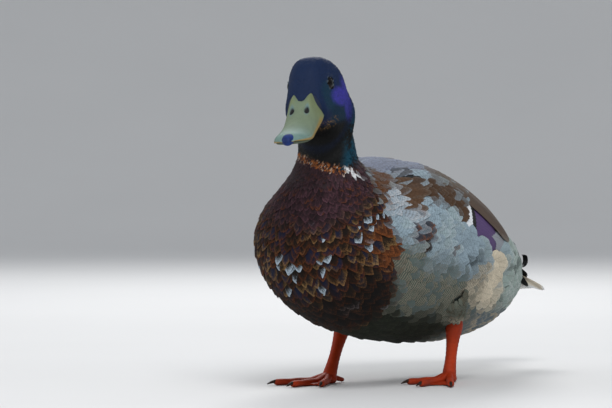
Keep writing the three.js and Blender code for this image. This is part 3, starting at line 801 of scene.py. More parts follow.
# ---------------------------------------------------------------- materials
class Wiring:
    """Adds nodes to a node tree; most calls give back the socket that holds their result."""

    def __init__(self, tree):
        """tree is the node tree that the nodes go into."""
        self.tree = tree

    def node(self, kind, **settings):
        """A new node of a kind, with its settings."""
        made = self.tree.nodes.new(kind)
        for key, value in settings.items():
            setattr(made, key, value)
        return made

    def feed(self, socket, value):
        """Links an output to a socket, or sets the socket to a plain value."""
        if isinstance(value, bpy.types.NodeSocket):
            self.tree.links.new(value, socket)
        else:
            socket.default_value = value

    def math(self, operation, *values):
        """One sum on values or outputs."""
        made = self.node("ShaderNodeMath", operation=operation)
        for socket, value in zip(made.inputs, values):
            self.feed(socket, value)
        return made.outputs[0]

    def ramp(self, value, low, high, start=0.0, end=1.0):
        """A smooth step from start at low to end at high."""
        made = self.node("ShaderNodeMapRange", interpolation_type="SMOOTHSTEP")
        for socket, given in zip(made.inputs, (value, low, high, start, end)):
            self.feed(socket, given)
        return made.outputs[0]

    def blend(self, share, first, second, mode="MIX"):
        """Two colours mixed, or the first times the second."""
        made = self.node("ShaderNodeMix", data_type="RGBA", blend_type=mode)
        for index, value in ((0, share), (6, first), (7, second)):
            self.feed(made.inputs[index], value)
        return made.outputs[2]

    def vector(self, x, y, z):
        """Three values as one vector or colour."""
        made = self.node("ShaderNodeCombineXYZ")
        for socket, value in zip(made.inputs, (x, y, z)):
            self.feed(socket, value)
        return made.outputs[0]

    def parts(self, value):
        """The three values of a vector."""
        made = self.node("ShaderNodeSeparateXYZ")
        self.feed(made.inputs[0], value)
        return made.outputs

    def noise(self, place, scale, detail=2.0):
        """Cloudy noise from 0 to 1 at a place."""
        made = self.node("ShaderNodeTexNoise")
        self.feed(made.inputs["Vector"], place)
        made.inputs["Scale"].default_value = scale
        made.inputs["Detail"].default_value = detail
        return made.outputs["Fac"]

    def attribute(self, name, output="Color"):
        """An attribute of the mesh."""
        return self.node("ShaderNodeAttribute", attribute_name=name).outputs[output]

    def object_place(self):
        """The place in the object's own space."""
        return self.node("ShaderNodeTexCoord").outputs["Object"]

    def bump(self, height, strength, distance):
        """A normal tilted by a height."""
        made = self.node("ShaderNodeBump")
        made.inputs["Strength"].default_value = strength
        made.inputs["Distance"].default_value = distance
        self.feed(made.inputs["Height"], height)
        return made.outputs["Normal"]


def group_tree(name, inputs, outputs):
    """An empty node group with float inputs and the given outputs, and its two end nodes."""
    tree = bpy.data.node_groups.new(name, "ShaderNodeTree")
    for title, default in inputs:
        socket = tree.interface.new_socket(name=title, in_out="INPUT", socket_type="NodeSocketFloat")
        socket.default_value = default
    for title, kind in outputs:
        tree.interface.new_socket(name=title, in_out="OUTPUT", socket_type=kind)
    wiring = Wiring(tree)
    return tree, wiring, wiring.node("NodeGroupInput"), wiring.node("NodeGroupOutput")


def vane_group():
    """The pattern of one vane: barbs slant out from the shaft as streaks, bars cross it, a dark centre fills
    it and a fringe runs round its end. It reads the vane map and the feather's own colours."""
    tree, w, given, out = group_tree(
        "Vane pattern",
        [("Streaks", 0.35), ("Bars", 5.0), ("Shaft", 0.3)],
        [("Colour", "NodeSocketColor"), ("Height", "NodeSocketFloat")],
    )
    vane = w.parts(w.node("ShaderNodeUVMap", uv_map="Vane").outputs[0])
    side = w.math("ABSOLUTE", w.math("MULTIPLY_ADD", vane[0], 2.0, -1.0))
    along = vane[1]
    slow = w.noise(w.object_place(), 160.0)
    barb = w.math("MULTIPLY_ADD", side, -0.45, along)
    streak = w.noise(w.vector(w.math("MULTIPLY", side, 1.5), w.math("MULTIPLY", barb, 26.0), slow), 1.6, 2.0)
    marks = w.parts(w.attribute("marks", "Vector"))
    ground = w.attribute("ground")
    dark = w.attribute("ink")
    # dark centre
    low = w.math("SUBTRACT", along, 0.68)
    heart = w.math("MULTIPLY_ADD", side, w.math("MULTIPLY", side, 0.9), w.math("MULTIPLY", low, low))
    heart = w.math("MULTIPLY", w.ramp(w.math("ADD", heart, streak), 0.55, 0.95, 1.0, 0.0), marks[2])
    painted = w.blend(heart, ground, dark)
    # bars
    turns = w.math("MULTIPLY", given.outputs["Bars"], 6.283)
    wave = w.math("MULTIPLY_ADD", slow, 7.0, w.math("MULTIPLY", along, turns))
    wave = w.math("SINE", w.math("MULTIPLY_ADD", side, 1.3, wave))
    barred = w.math("MULTIPLY", w.ramp(wave, 0.05, 0.75), marks[1])
    painted = w.blend(barred, painted, dark)
    # fringe
    reach = w.math("MULTIPLY_ADD", side, w.math("MULTIPLY", side, 0.42), w.math("MULTIPLY", along, along))
    reach = w.math("MULTIPLY_ADD", streak, 1.1, reach)
    start = w.math("SUBTRACT", 1.5, marks[0])
    fringe = w.ramp(reach, start, w.math("ADD", start, 0.5))
    painted = w.blend(fringe, painted, w.attribute("fringe"))
    # shaft and streaks
    shaft = w.math("MULTIPLY", w.ramp(side, 0.0, 0.07, 1.0, 0.0), given.outputs["Shaft"])
    painted = w.blend(shaft, painted, dark)
    light = w.math("MULTIPLY_ADD", w.math("SUBTRACT", streak, 0.5), given.outputs["Streaks"], 1.0)
    painted = w.blend(1.0, painted, w.vector(light, light, light), "MULTIPLY")
    w.feed(out.inputs["Colour"], painted)
    w.feed(out.inputs["Height"], w.math("MULTIPLY_ADD", streak, 0.8, shaft))
    return tree


def speckle_group():
    """Two scales of mottling of the object's own space, as a factor about 1 and a height."""
    tree, w, given, out = group_tree(
        "Speckle",
        [("Strength", 0.3)],
        [("Factor", "NodeSocketColor"), ("Height", "NodeSocketFloat")],
    )
    place = w.object_place()
    coarse = w.noise(place, 180.0, 3.0)
    fine = w.noise(place, 900.0, 2.0)
    both = w.math("MULTIPLY_ADD", fine, 0.5, coarse)
    factor = w.math("MULTIPLY_ADD", w.math("SUBTRACT", both, 0.75), given.outputs["Strength"], 1.0)
    w.feed(out.inputs["Factor"], w.vector(factor, factor, factor))
    w.feed(out.inputs["Height"], both)
    return tree


def new_material(name, roughness, gloss=0.5):
    """A material with its roughness and its gloss, which is the specular level."""
    made = bpy.data.materials.new(name)
    made.use_nodes = True
    w = Wiring(made.node_tree)
    shader = made.node_tree.nodes["Principled BSDF"]
    shader.inputs["Roughness"].default_value = roughness
    shader.inputs["Specular IOR Level"].default_value = gloss
    return w, shader


def plumage_material(name, streaks, bars, relief, roughness, gloss):
    """Feathers: the vane pattern as colour and as relief."""
    w, shader = new_material(name, roughness, gloss)
    pattern = w.node("ShaderNodeGroup", node_tree=bpy.data.node_groups["Vane pattern"])
    pattern.inputs["Streaks"].default_value = streaks
    pattern.inputs["Bars"].default_value = bars
    w.feed(shader.inputs["Base Color"], pattern.outputs["Colour"])
    w.feed(shader.inputs["Normal"], w.bump(pattern.outputs["Height"], relief, BARB_RELIEF))


def hide_material(name, strength, relief, roughness, gloss):
    """Bare skin, horn or hide: the ground colour of the mesh under the speckle."""
    w, shader = new_material(name, roughness, gloss)
    speckle = w.node("ShaderNodeGroup", node_tree=bpy.data.node_groups["Speckle"])
    speckle.inputs["Strength"].default_value = strength
    painted = w.blend(1.0, w.attribute("ground"), speckle.outputs["Factor"], "MULTIPLY")
    w.feed(shader.inputs["Base Color"], painted)
    w.feed(shader.inputs["Normal"], w.bump(speckle.outputs["Height"], relief, SPECKLE_RELIEF))


def floor_material():
    """A matt pale floor with a faint cloudiness."""
    w, shader = new_material("pale_floor", 0.85)
    cloud = w.noise(w.object_place(), 3.0, 4.0)
    light = w.math("MULTIPLY_ADD", cloud, 0.05, 0.7)
    w.feed(shader.inputs["Base Color"], w.vector(light, light, light))


# How deep the relief of feathers and of bare parts is, in metres.
BARB_RELIEF = 0.0004
SPECKLE_RELIEF = 0.0003

# name, streaks, bars, relief, roughness, gloss
PLUMAGE_FINISHES = [
    ("soft_feathers", 0.8, 12.0, 0.5, 0.85, 0.15),
    ("gloss_feathers", 0.7, 5.0, 0.4, 0.55, 0.16),
    ("quill_feathers", 0.45, 9.0, 0.3, 0.7, 0.3),
]

# name, speckle, relief, roughness, gloss
BARE_FINISHES = [
    ("feathered_skin", 0.4, 0.3, 0.85, 0.5),
    ("bill_horn", 0.4, 0.15, 0.6, 0.3),
    ("nail_horn", 0.9, 0.2, 0.65, 0.25),
    ("leg_hide", 0.55, 0.45, 0.6, 0.25),
    ("eye_gloss", 0.1, 0.0, 0.12, 0.18),
    ("lid_skin", 0.5, 0.4, 0.8, 0.1),
]


def make_materials():
    """The two patterns and every finish."""
    vane_group()
    speckle_group()
    for row in PLUMAGE_FINISHES:
        plumage_material(*row)
    for row in BARE_FINISHES:
        hide_material(*row)
    floor_material()


# ---------------------------------------------------------------- contour feathers
# The length of the feathers at some rungs, as a share of a flank feather.
LENGTH_RUNGS = [0, 1.5, 3, 5, 7, 9, 10.5, 11.5, 12.5, 14, 15, 17, 19, 20, 21]
LENGTH_SHARES = [0.65, 0.85, 1.0, 0.95, 0.78, 0.62, 0.45, 0.28, 0.22, 0.19, 0.17, 0.148, 0.115, 0.09, 0.07]
ROW_STEP = 0.24  # rows stand this share of a feather's length apart
SHOWN = 0.8  # the middle of what the next rows leave bare, as a share of a feather's length
CROWN_SHARE = 0.148  # the share in the list above that the crown feather's own length takes over


def feather_length(rung):
    """A share of the flank feather's length, scaled on the head to the crown feather's."""
    body = np.interp(rung, LENGTH_RUNGS, LENGTH_SHARES) * size("body_feather")
    head = smooth(rung, 14, 15)
    return body * lerp(1.0, size("head_feather") / (CROWN_SHARE * size("body_feather")), head)


def feather_slimness(rung):
    """Half width as a share of length."""
    return np.interp(rung, [0, 9, 11.5, 14, 21], [0.3, 0.32, 0.28, 0.26, 0.25])


FIRST_ROW = 20.9  # the rung of the first row, at the bill
LAST_ROW = 0.35  # no row starts nearer to the vent
ROOT_LIMITS = (0.3, 20.95)  # the rungs between which a shaken root is kept


def contour_roots(rng):
    """Rows of roots from the bill to the vent, a share of a feather's length apart, each row staggered by
    half a step and shaken a little."""
    rungs, arounds = [], []
    rung, row = FIRST_ROW, 0
    while rung > LAST_ROW:
        length = feather_length(rung)
        per_rung, half_outline = (float(v) for v in local_scale(plumage, np.array(rung), np.array(0.5)))
        spread = length * feather_slimness(rung) * np.interp(rung, [9, 14], [0.66, 1.0])
        count = max(8, round(2 * half_outline / spread))
        rungs.append(np.full(count, rung))
        arounds.append((np.arange(count) + 0.5 * (row % 2)) / count * 2 - 1)
        rung -= ROW_STEP * length / per_rung
        row += 1
    rung, around = np.concatenate(rungs), np.concatenate(arounds)
    per_rung, half_outline = local_scale(plumage, rung, around)
    shake = feather_length(rung) * 0.1
    rung = rung + rng.normal(0, 1, len(rung)) * shake / per_rung
    around = around + rng.normal(0, 1, len(rung)) * shake * 0.6 / half_outline
    keep = (rung > ROOT_LIMITS[0]) & (rung < ROOT_LIMITS[1])
    return rung[keep], around[keep]


# How far forward of the eyes the coat reaches on the bill, by the distance from the head's middle.
BILL_EDGE = ([0, 3, 6, 9, 12], [31.5, 28.5, 23.5, 23.8, 24.6])


def on_bill(points):
    """Where the bill's two upper corners and its sides rise into the face, so that no feather grows."""
    side, along, _ = head_frame(points)
    return along > np.interp(np.abs(side), *BILL_EDGE)


# Where the folded wing's own quills show: its front and lower limits on the body's rungs and angles.
WINDOW_FRONT = ([12, 40, 55, 60, 78], [4.3, 4.6, 5.1, 5.2, 5.2])
WINDOW_LOWER = ([2.1, 2.7, 3.1, 3.5, 3.9, 4.03, 4.4, 4.9, 5.2], [33, 46, 59, 67, 82, 83, 77, 75, 76])


def wing_window(rung, degrees):
    """Inside the window's limits, and clear of the back's middle."""
    d = np.abs(degrees)
    inside = (rung < np.interp(d, *WINDOW_FRONT)) & (d < np.interp(rung, *WINDOW_LOWER))
    return inside & (rung > 2.1) & (d > 12)


def near_eye(points):
    """Whether a place lies on the lids or the ball, by its distance from the eye on the head's sides."""
    side, along, above = head_frame(points)
    away = np.hypot(along - EYE["along"] - 0.4, (above - EYE["above"]) * 1.05)
    return (away < 4.7) & (np.abs(side) > 8)


def contour_field(rng):
    """Every contour feather of the body: rung, place round it, length and yaw in radians, without those that
    would cover the eye, the bill's corners or the folded wing's quills."""
    rung, around = contour_roots(rng)
    degrees = np.degrees(angle_at(rung, around))
    length = feather_length(rung) * rng.uniform(0.85, 1.15, len(rung))
    per_rung, per_around = local_scale(plumage, rung, around)
    yaw = rng.normal(0, 7, len(rung)) + 22 * np.sign(degrees) * patch(rung, degrees, (3.9, 76), (1.3, 16))
    bend = np.sin(np.radians(yaw)) / per_around
    drop = on_bill(plumage(rung, around)) & (rung > 18)
    for share in (0.0, 0.35, 0.7, 0.95):
        place = np.maximum(rung - share * length / per_rung, 0)
        beside = around - share * length * bend
        drop |= near_eye(plumage(place, beside))
        drop |= wing_window(place, np.degrees(angle_at(place, beside))) & (share > 0.1)
    return [column[~drop] for column in (rung, around, length, np.radians(yaw))]


def contour_piece(name, rung, around, length, yaw, steps, across, notch, lie, finish, slot, rng):
    """One piece of the coat: feathers laid down the body towards the tail. A vane starts at the skin and
    rises, as its share to the power 0.85, to lie proud of the coat's surface."""
    count = len(rung)
    t, s = vane_shares(count, steps, across, notch, 0.34, rng)
    per_rung, per_around = local_scale(plumage, rung, around)
    down = np.linspace(0, 1, steps)[None, :] * length[:, None]
    centre_u = rung[:, None] - down * (np.cos(yaw) / per_rung)[:, None]
    centre_v = around[:, None] - down * (np.sin(yaw) / per_around)[:, None]
    widest = length * feather_slimness(rung) * rng.uniform(0.9, 1.1, count)
    half = widest[:, None, None] * vane_width(t, "soft")
    depth = coat_depth(rung)[:, None, None]
    loose = rng.normal(0, 0.1, (count, 1, 1)) * depth * t
    lift = -depth + depth * (1 + lie) * t**0.85 + loose
    tilt = rng.normal(0, 0.09, (count, 1, 1)) * depth
    points = lay_vanes(plumage, centre_u, centre_v, t, s, half, lift, 0.16, tilt)
    shown = rung - SHOWN * length / per_rung
    coat = paint(shown, np.degrees(angle_at(shown, around)), plumage(shown, around), rng)
    coat.shade(rng.uniform(0.92, 1.08, count))
    feather_object(name, points, t, s, unwrap(rung, around), coat, finish, slot)


# ---------------------------------------------------------------- wing, tail and curled feathers
def around_of(rung, degrees):
    """The share of the outline at an angle, found by reading the table of even angles backwards."""
    rung, degrees = np.broadcast_arrays(np.asarray(rung, float), np.asarray(degrees, float))
    row = np.rint(np.clip(rung, 0, LAST) * RUNG_STEPS).astype(int)
    even = np.linspace(0, 1, ROUND_STEPS + 1)
    flat = [
        np.interp(math.radians(abs(d)), ANGLES[r], even) for r, d in zip(row.ravel(), degrees.ravel())
    ]
    return np.sign(degrees) * np.array(flat).reshape(rung.shape)


def plain_coat(count, ground, fringe, ink_colour, marks):
    """A coat whose feathers all take the same colours, or each its own row."""
    coat = Coat(count)
    coat.lay(1.0, ground, fringe, ink_colour, marks)
    return coat


LINE_STEPS = 12  # points of a quill's centreline
QUILL_ACROSS = 9  # points across a wing quill's vane


def wing_group(name, rng, roots, tips, half, lift, coat, finish, steps=26, nodes=()):
    """One row of the folded wing's quills on both sides, laid on the coat's surface from roots to tips, each
    given as (rung, degrees). On the right the share of the outline has the other sign."""
    roots, tips = np.asarray(roots, float), np.asarray(tips, float)
    shares = np.linspace(0, 1, LINE_STEPS)[None, :]
    rung = lerp(roots[:, :1], tips[:, :1], shares)
    around = around_of(rung, lerp(roots[:, 1:], tips[:, 1:], shares))
    t, s = vane_shares(2 * len(roots), steps, QUILL_ACROSS, 0.02, 0.06, rng)
    line_u, line_v = np.concatenate([rung, rung]), np.concatenate([around, -around])
    half, lift = (np.tile(values, 2)[:, None, None] for values in (half, lift))
    half = half * vane_width(t, "quill")
    points = lay_vanes(plumage, line_u, line_v, t, s, half, lift, 0.1)
    roots_on_skin = unwrap(line_u[:, 0], line_v[:, 0])
    feather_object(name, points, t, s, roots_on_skin, coat, finish, "wing_feathers", *nodes)


# ---------------------------------------------------------------- operators
# The skin's grid: its first and last rung, how many rings, and how many points round half a ring. Its
# colours are the feathers' times the shade, painted shade for the gaps between the feathers where the skin
# shows.
SKIN = {"rear": -0.3, "front": 20.95, "rings": 260, "half_round": 80, "shade": 0.6}


class DRAKE_OT_Skin(Operator):
    """One skin over head, neck, body and shins, as far under the coat's surface as the coat is deep"""

    bl_idname = "drake.skin"
    bl_label = "Skin"

    def execute(self, context):
        rung = np.linspace(SKIN["rear"], SKIN["front"], SKIN["rings"])[:, None]
        around = (np.arange(2 * SKIN["half_round"]) / SKIN["half_round"] - 1)[None, :]
        rings = plumage(rung, around, -coat_depth(rung))
        rung, around = (a.ravel() for a in np.broadcast_arrays(rung, around))
        degrees = np.degrees(angle_at(rung, around))
        coat = paint(rung, degrees, rings.reshape(-1, 3), np.random.default_rng(2))
        grounds = [coat.ground, coat.ground[:2]]
        patches = [unwrap(rung, around), unwrap(rung[:2], around[:2])]
        shells = [tube_shell(rings)]
        for number, leg in enumerate(LEGS.values()):
            down = np.linspace(0.0, SHIN["skin_end"], SHIN["skin_rings"])[:, None]
            turn = (np.arange(SHIN["skin_round"]) / SHIN["skin_round"])[None, :]
            u, v = np.broadcast_arrays(down, turn)
            shell = tube_shell(shin_surface(leg)(u, v, -SHIN["depth"]))
            shells.append(shell)
            grounds.append(np.tile(barred_green(), (len(shell[0]), 1)))
            patches += [shin_unwrap(number, u.ravel(), v.ravel()), shin_unwrap(number, u[:2, 0], v[:2, 0])]
        maps = {"OFBake": np.concatenate(patches)}
        # Painted shade: the skin's colours are the feathers' darkened by the shade.
        made = mesh_object("skin", joined(shells), maps, {"ground": np.concatenate(grounds) * SKIN["shade"]})
        solids = ("head", "neck", "trunk", "rump", "left_thigh", "right_thigh")
        dress(made, "feathered_skin", "body_feathers", *solids)
        return {"FINISHED"}


# name, lowest and highest rung, steps, across, notch, how proud of the surface the tips are as a share of
# the coat's depth, finish, slot
COAT_PIECES = [
    ("rump_feathers", 0, 3, 8, 9, 0.07, 0.2, "soft_feathers", "tail_feathers"),
    ("flank_feathers", 3, 6, 7, 8, 0.07, 0.15, "soft_feathers", "body_feathers"),
    ("shoulder_feathers", 6, 8.6, 7, 8, 0.07, 0.15, "soft_feathers", "body_feathers"),
    ("breast_feathers", 8.6, 11.2, 7, 7, 0.08, 0.15, "soft_feathers", "body_feathers"),
    ("neck_feathers", 11.2, 15, 4, 4, 0.2, 0.1, "gloss_feathers", "head_feathers"),
    ("head_feathers", 15, 17.5, 4, 3, 0.2, 0.1, "gloss_feathers", "head_feathers"),
    ("face_feathers", 17.5, 21, 3, 3, 0.2, 0.1, "gloss_feathers", "head_feathers"),
]


class DRAKE_OT_Contour(Operator):
    """The contour feathers, in rows from the bill to the vent"""

    bl_idname = "drake.contour"
    bl_label = "Contour feathers"

    def execute(self, context):
        rng = np.random.default_rng(7)
        field = contour_field(rng)
        for name, low, high, *look in COAT_PIECES:
            chosen = (field[0] >= low) & (field[0] < high)
            contour_piece(name, *(column[chosen] for column in field), *look, rng)
        return {"FINISHED"}


def mirror_side(points):
    """The same shells on the right: sides change sign about the body's middle, and rows run the other way so
    that faces still point out."""
    flipped = points[:, :, ::-1].copy()
    flipped[..., 0] = 2 * SHIFT[0] - flipped[..., 0]
    return flipped


def free_vanes(line, across_way, half, t, s, camber):
    """Vanes in the open. line and across_way are each count by steps by 3. A point stands at its share of
    the line plus s times the half width along the crosswise way, raised in the middle by the camber."""
    ahead = unit(np.gradient(line, axis=1))
    above = unit(np.cross(ahead, across_way))
    above = above * np.sign(above[..., 2:3] + 1e-9)
    middle, aside, up = (interpolate_rows(values, t) for values in (line, across_way, above))
    reach = s * half
    return middle + aside * reach[..., None] + up * (camber * half * (1 - s * s))[..., None]


# The wing's two rows of secondaries: name, how far they reach past the mirror in rungs, colours of vane and
# edge, depth under the coat's surface, and the solids they stand for.
SECONDARIES = [
    ("white_edged_quills", 0.17, "black", "collar", 2.1, ()),
    ("mirror_quills", 0.0, "mirror", "black", 1.5, ("left_wing", "right_wing")),
]
SECONDARY_COUNT = 10

# The two rows of coverts before the mirror: name, rung of the tips, colour, depth under the surface.
WING_COVERTS = [("black_tipped_coverts", 4.86, "black", 1.0), ("wing_coverts", 5.02, "bar", 0.7)]
COVERT_COUNT = 14

# The middle line of the folded wing's tip: side, forward and up.
WING_TIP = np.array([(25, -92, 106), (21, -126, 98), (15, -153, 86.5)])
PRIMARIES = {"count": 8, "steps": 16, "shortest": 0.32, "slope": -25}


class DRAKE_OT_Wings(Operator):
    """The folded wings: tertials, coverts with the white bar, the violet mirror and the long grey tips"""

    bl_idname = "drake.wings"
    bl_label = "Wings"

    def execute(self, context):
        rng = np.random.default_rng(11)
        self.secondaries(rng)
        self.coverts(rng)
        self.tertials(rng)
        self.side_tips(rng)
        self.primaries(rng)
        return {"FINISHED"}

    def secondaries(self, rng):
        """Violet quills edged with black, over a row that reaches further and ends in white."""
        count = SECONDARY_COUNT
        for name, reach, ground, edge, sunk, nodes in SECONDARIES:
            roots = np.linspace((5.7, 52), (5.7, 79), count)
            tips = np.linspace((4.02, 61), (4.0, 80), count) - [reach, 0]
            coat = plain_coat(2 * count, colour(ground), colour(edge), colour("black"), [0.12, 0.0, 0.0])
            half, lift = np.linspace(5, 4.5, count), np.linspace(-sunk, -sunk - 0.5, count)
            wing_group(name, rng, roots, tips, half, lift, coat, "gloss_feathers", nodes=nodes)

    def coverts(self, rng):
        """Two rows before the mirror: black tips under white ones."""
        count = COVERT_COUNT
        for name, end, edge, sunk in WING_COVERTS:
            roots = np.linspace((5.9, 50), (5.9, 79), count)
            tips = np.linspace((end, 50), (end, 79), count)
            coat = plain_coat(2 * count, colour(edge), colour(edge), colour("mantle"), [0.2, 0.0, 0.0])
            half, lift = np.full(count, 3.4), np.full(count, -sunk)
            wing_group(name, rng, roots, tips, half, lift, coat, "quill_feathers", steps=14)

    def tertials(self, rng):
        """Four broad brown feathers over the folded wing's rear."""
        roots = [(5.6, 14), (5.6, 24), (5.6, 34), (5.7, 44)]
        tips = [(2.3, 20), (2.45, 33), (2.75, 45), (3.25, 59)]
        ground = lerp(colour("brown"), colour("mantle"), 0.25)
        coat = plain_coat(8, ground, colour("mantle") * 1.2, colour("brown") * 0.4, [0.2, 0.0, 0.25])
        half, lift = [11, 11, 11, 10.5], [0.5, 0.3, 0.1, -0.1]
        wing_group("tertials", rng, roots, tips, half, lift, coat, "quill_feathers")

    def side_tips(self, rng):
        """The outer wing tips that show under the longest tertial."""
        roots = [(4.25, 70), (4.25, 74), (4.25, 78)]
        tips = [(2.7, 61), (2.8, 65), (2.95, 69)]
        grey = colour("primaries")
        coat = plain_coat(6, grey, grey * 1.4, colour("brown"), [0.12, 0.0, 0.15])
        half, lift = [5.5, 5.0, 4.5], [-1.6, -2.0, -2.4]
        wing_group("side_wing_tips", rng, roots, tips, half, lift, coat, "quill_feathers")

    def primaries(self, rng):
        """Long quills from under the tertials out beyond the folded wing, stacked one over the other. Each
        runs along the tip's middle line, the lower ones less far, and is level but for the slope across."""
        count = PRIMARIES["count"]
        k = np.linspace(0, 1, count)[:, None]
        share = np.linspace(0, 1, PRIMARIES["steps"])[None, :]
        path = along_curve(WING_TIP, share * (1 - PRIMARIES["shortest"] * k))
        side = path[..., 0] + lerp(-2.5, 3.5, k)
        line = placed(side, path[..., 1], path[..., 2] - 2.2 * k + 1.2)
        slope = math.radians(PRIMARIES["slope"])
        aside = np.broadcast_to([math.cos(slope), 0, math.sin(slope)], line.shape)
        t, s = vane_shares(count, 24, 7, 0.01, 0.03, rng)
        half = lerp(6.5, 5.0, k)[..., None] * vane_width(t, "quill")
        left = free_vanes(line, aside, half, t, s, 0.1)
        points = np.concatenate([left, mirror_side(left)])
        t, s = np.concatenate([t, t]), np.concatenate([s, s])
        grey = colour("primaries")
        coat = plain_coat(2 * count, grey, grey * 1.4, colour("brown"), [0.12, 0, 0.1])
        roots = unwrap(np.full(2 * count, 2.6), np.repeat([0.2, -0.2], count))
        feather_object("wing_tips", points, t, s, roots, coat, "quill_feathers", "wing_feathers")


# The fan: forward and up of its root, degrees it droops, length of its middle feathers and how much shorter
# the outer ones are, half its width from root to tip, and how far its sides hang lower.
TAIL = {
    "root": (-138, 77),
    "droop": 16,
    "length": 78,
    "rounding": 12,
    "half": [8, 12, 15.5, 17, 14],
    "crown": 3,
}

# The tail's coverts: name, how many, 1 above the tail or -1 below it, up of their roots and tips, length,
# how ragged their heights are, place on the skin's unwrap, colour.
TAIL_COVERTS = [
    ("uppertail_coverts", 26, 1, (87.5, 71.5), 52, 2.5, 0, "black"),
    ("undertail_coverts", 13, -1, (60, 58.5), 38, 0.3, 0.95, "rump"),
]

# A curled feather's middle line: side, backward and up.
CURL = [
    (3.2, 158, 79),
    (3.8, 172, 76),
    (4.4, 183, 74),
    (4.9, 190, 77),
    (5.3, 189, 82.5),
    (5.6, 183.5, 83.5),
]


class DRAKE_OT_Tail(Operator):
    """The fan of tail feathers, its coverts and the two curled feathers"""

    bl_idname = "drake.tail"
    bl_label = "Tail"

    def execute(self, context):
        rng = np.random.default_rng(13)
        self.fan(rng)
        self.coverts(rng)
        self.curls(rng)
        return {"FINISHED"}

    def fan(self, rng):
        """Straight quills side by side on a low roof: c is how far out each one is, and the outer ones are
        shorter by its square and paler."""
        count = bpy.context.scene.drake_sizes.tail_feathers
        c = np.linspace(-0.86, 0.86, count)[:, None]
        share = np.linspace(0, 1, 12)[None, :]
        reach = share * (TAIL["length"] - TAIL["rounding"] * c * c)
        side = c * along_curve(TAIL["half"], share)
        droop = math.radians(TAIL["droop"])
        lift = 1.6 * (1 - np.abs(c)) - TAIL["crown"] * c * c * share
        forward = TAIL["root"][0] - reach * math.cos(droop) + lift * math.sin(droop)
        up = TAIL["root"][1] - reach * math.sin(droop) + lift * math.cos(droop)
        line = placed(side, forward, up)
        aside = np.broadcast_to([1.0, 0, 0], line.shape)
        t, s = vane_shares(count, 26, 9, 0.01, 0.05, rng)
        half = lerp(5.2, 4.2, np.abs(c))[..., None] * vane_width(t, "quill")
        points = free_vanes(line, aside, half, t, s, 0.08)
        ground = lerp(colour("mantle") * 0.9, colour("cream"), smooth(np.abs(c), 0.15, 0.6))
        coat = plain_coat(count, ground, colour("collar"), colour("brown"), [0.2, 0.1, 0.3])
        roots = unwrap(np.full(count, 0.3), c[:, 0] * 0.4)
        feather_object("tail_fan", points, t, s, roots, coat, "quill_feathers", "tail_feathers", "tail")

    def coverts(self, rng):
        """Straight soft feathers over and under the fan's root; c is how far out each one is, and both rows
        bend round the tail with its square."""
        for name, count, above, (root, tip), longest, uneven, around, tone in TAIL_COVERTS:
            c = np.linspace(-1, 1, count)[:, None]
            share = np.linspace(0, 1, 8)[None, :]
            side = c * lerp(10, 14, share)
            length = longest * rng.uniform(0.72, 1.0, (count, 1)) - 8 * c * c
            forward = -143 - length * share
            ragged = rng.normal(0, uneven, (count, 1))
            height = lerp(root, tip + ragged, share) - above * 4.5 * c * c * (1 + share)
            line = placed(side, forward, height)
            t, s = vane_shares(count, 14, 7, 0.05, 0.15, rng)
            half = 4.2 * vane_width(t, "soft")
            points = free_vanes(line, np.broadcast_to([1.0, 0, 0], line.shape), half, t, s, 0.15)
            base = colour(tone)
            coat = plain_coat(count, base, base * 1.2, colour("black"), [0.2, 0.0, 0.0])
            roots = unwrap(np.full(count, 0.2), c[:, 0] * 0.3 + around)
            feather_object(name, points, t, s, roots, coat, "soft_feathers", "tail_feathers")

    def curls(self, rng):
        """Two black feathers, one on each side, that rise and roll forward along the curl's middle line."""
        side, backward, up = along_curve(CURL, np.linspace(0, 1, 26)).T
        line = np.stack([placed(sign * side, -backward, up) for sign in (1, -1)])
        t, s = vane_shares(2, 30, 7, 0.02, 0.1, rng)
        half = 2.8 * (1 - 0.35 * t) * vane_width(t, "quill")
        points = free_vanes(line, np.broadcast_to([1.0, 0, 0], line.shape), half, t, s, 0.2)
        coat = plain_coat(2, colour("black"), colour("black") * 2, colour("black"), [0.1, 0, 0])
        roots = unwrap(np.full(2, 0.5), np.array([0.05, -0.05]))
        feather_object(
            "curled_feathers", points, t, s, roots, coat, "gloss_feathers", "black_feathers",
            "left_curl", "right_curl",
        )


# ---------------------------------------------------------------- bill
# In the head's own frame: where the bill starts and ends along it, the gap of the mouth, the boxiness of its
# section, and by how much the lower half is narrower and shorter.
BILL = {"root": 22.0, "tip": 84.0, "mouth": 0.3, "boxy": 2.4, "inset": 1.2, "lower_reach": 0.95}
# From root to tip: half the width, then the heights of the ridge, the cutting edge and the keel.
BILL_HALF = [12.0, 12.1, 11.5, 11.0, 11.1, 11.7, 12.0, 10.2, 3.6]
CULMEN = [-3.0, -3.6, -6.0, -8.8, -10.5, -11.3, -11.3, -10.9, -12.8]
TOMIUM = [-16.3, -17.6, -18.8, -19.7, -20, -19.6, -18.2, -16.2, -14]
KEEL = [-22.5, -23, -23.4, -23.4, -22.9, -21.9, -20.2, -17.9, -15.6]
# The two corners at the root: shares of the half width and of the height, from the edge to the middle.
CORNER_SIDE = [1, 0.935, 0.83, 0.71, 0.59, 0.475, 0.34, 0.17, 0]
CORNER_RISE = [0, 0.27, 0.55, 0.83, 1.08, 1.2, 1.16, 1.05, 1]
CORNER_END = (0.08, 0.42)  # the shares along the bill between which the corners fade out
NAIL = {"along": 80.0, "above": -13.6, "radii": (4.1, 6.0, 3.5)}
NOSTRIL = {"side": 5.1, "along": 39.0, "half": (3.4, 2.1), "deep": 1.7}


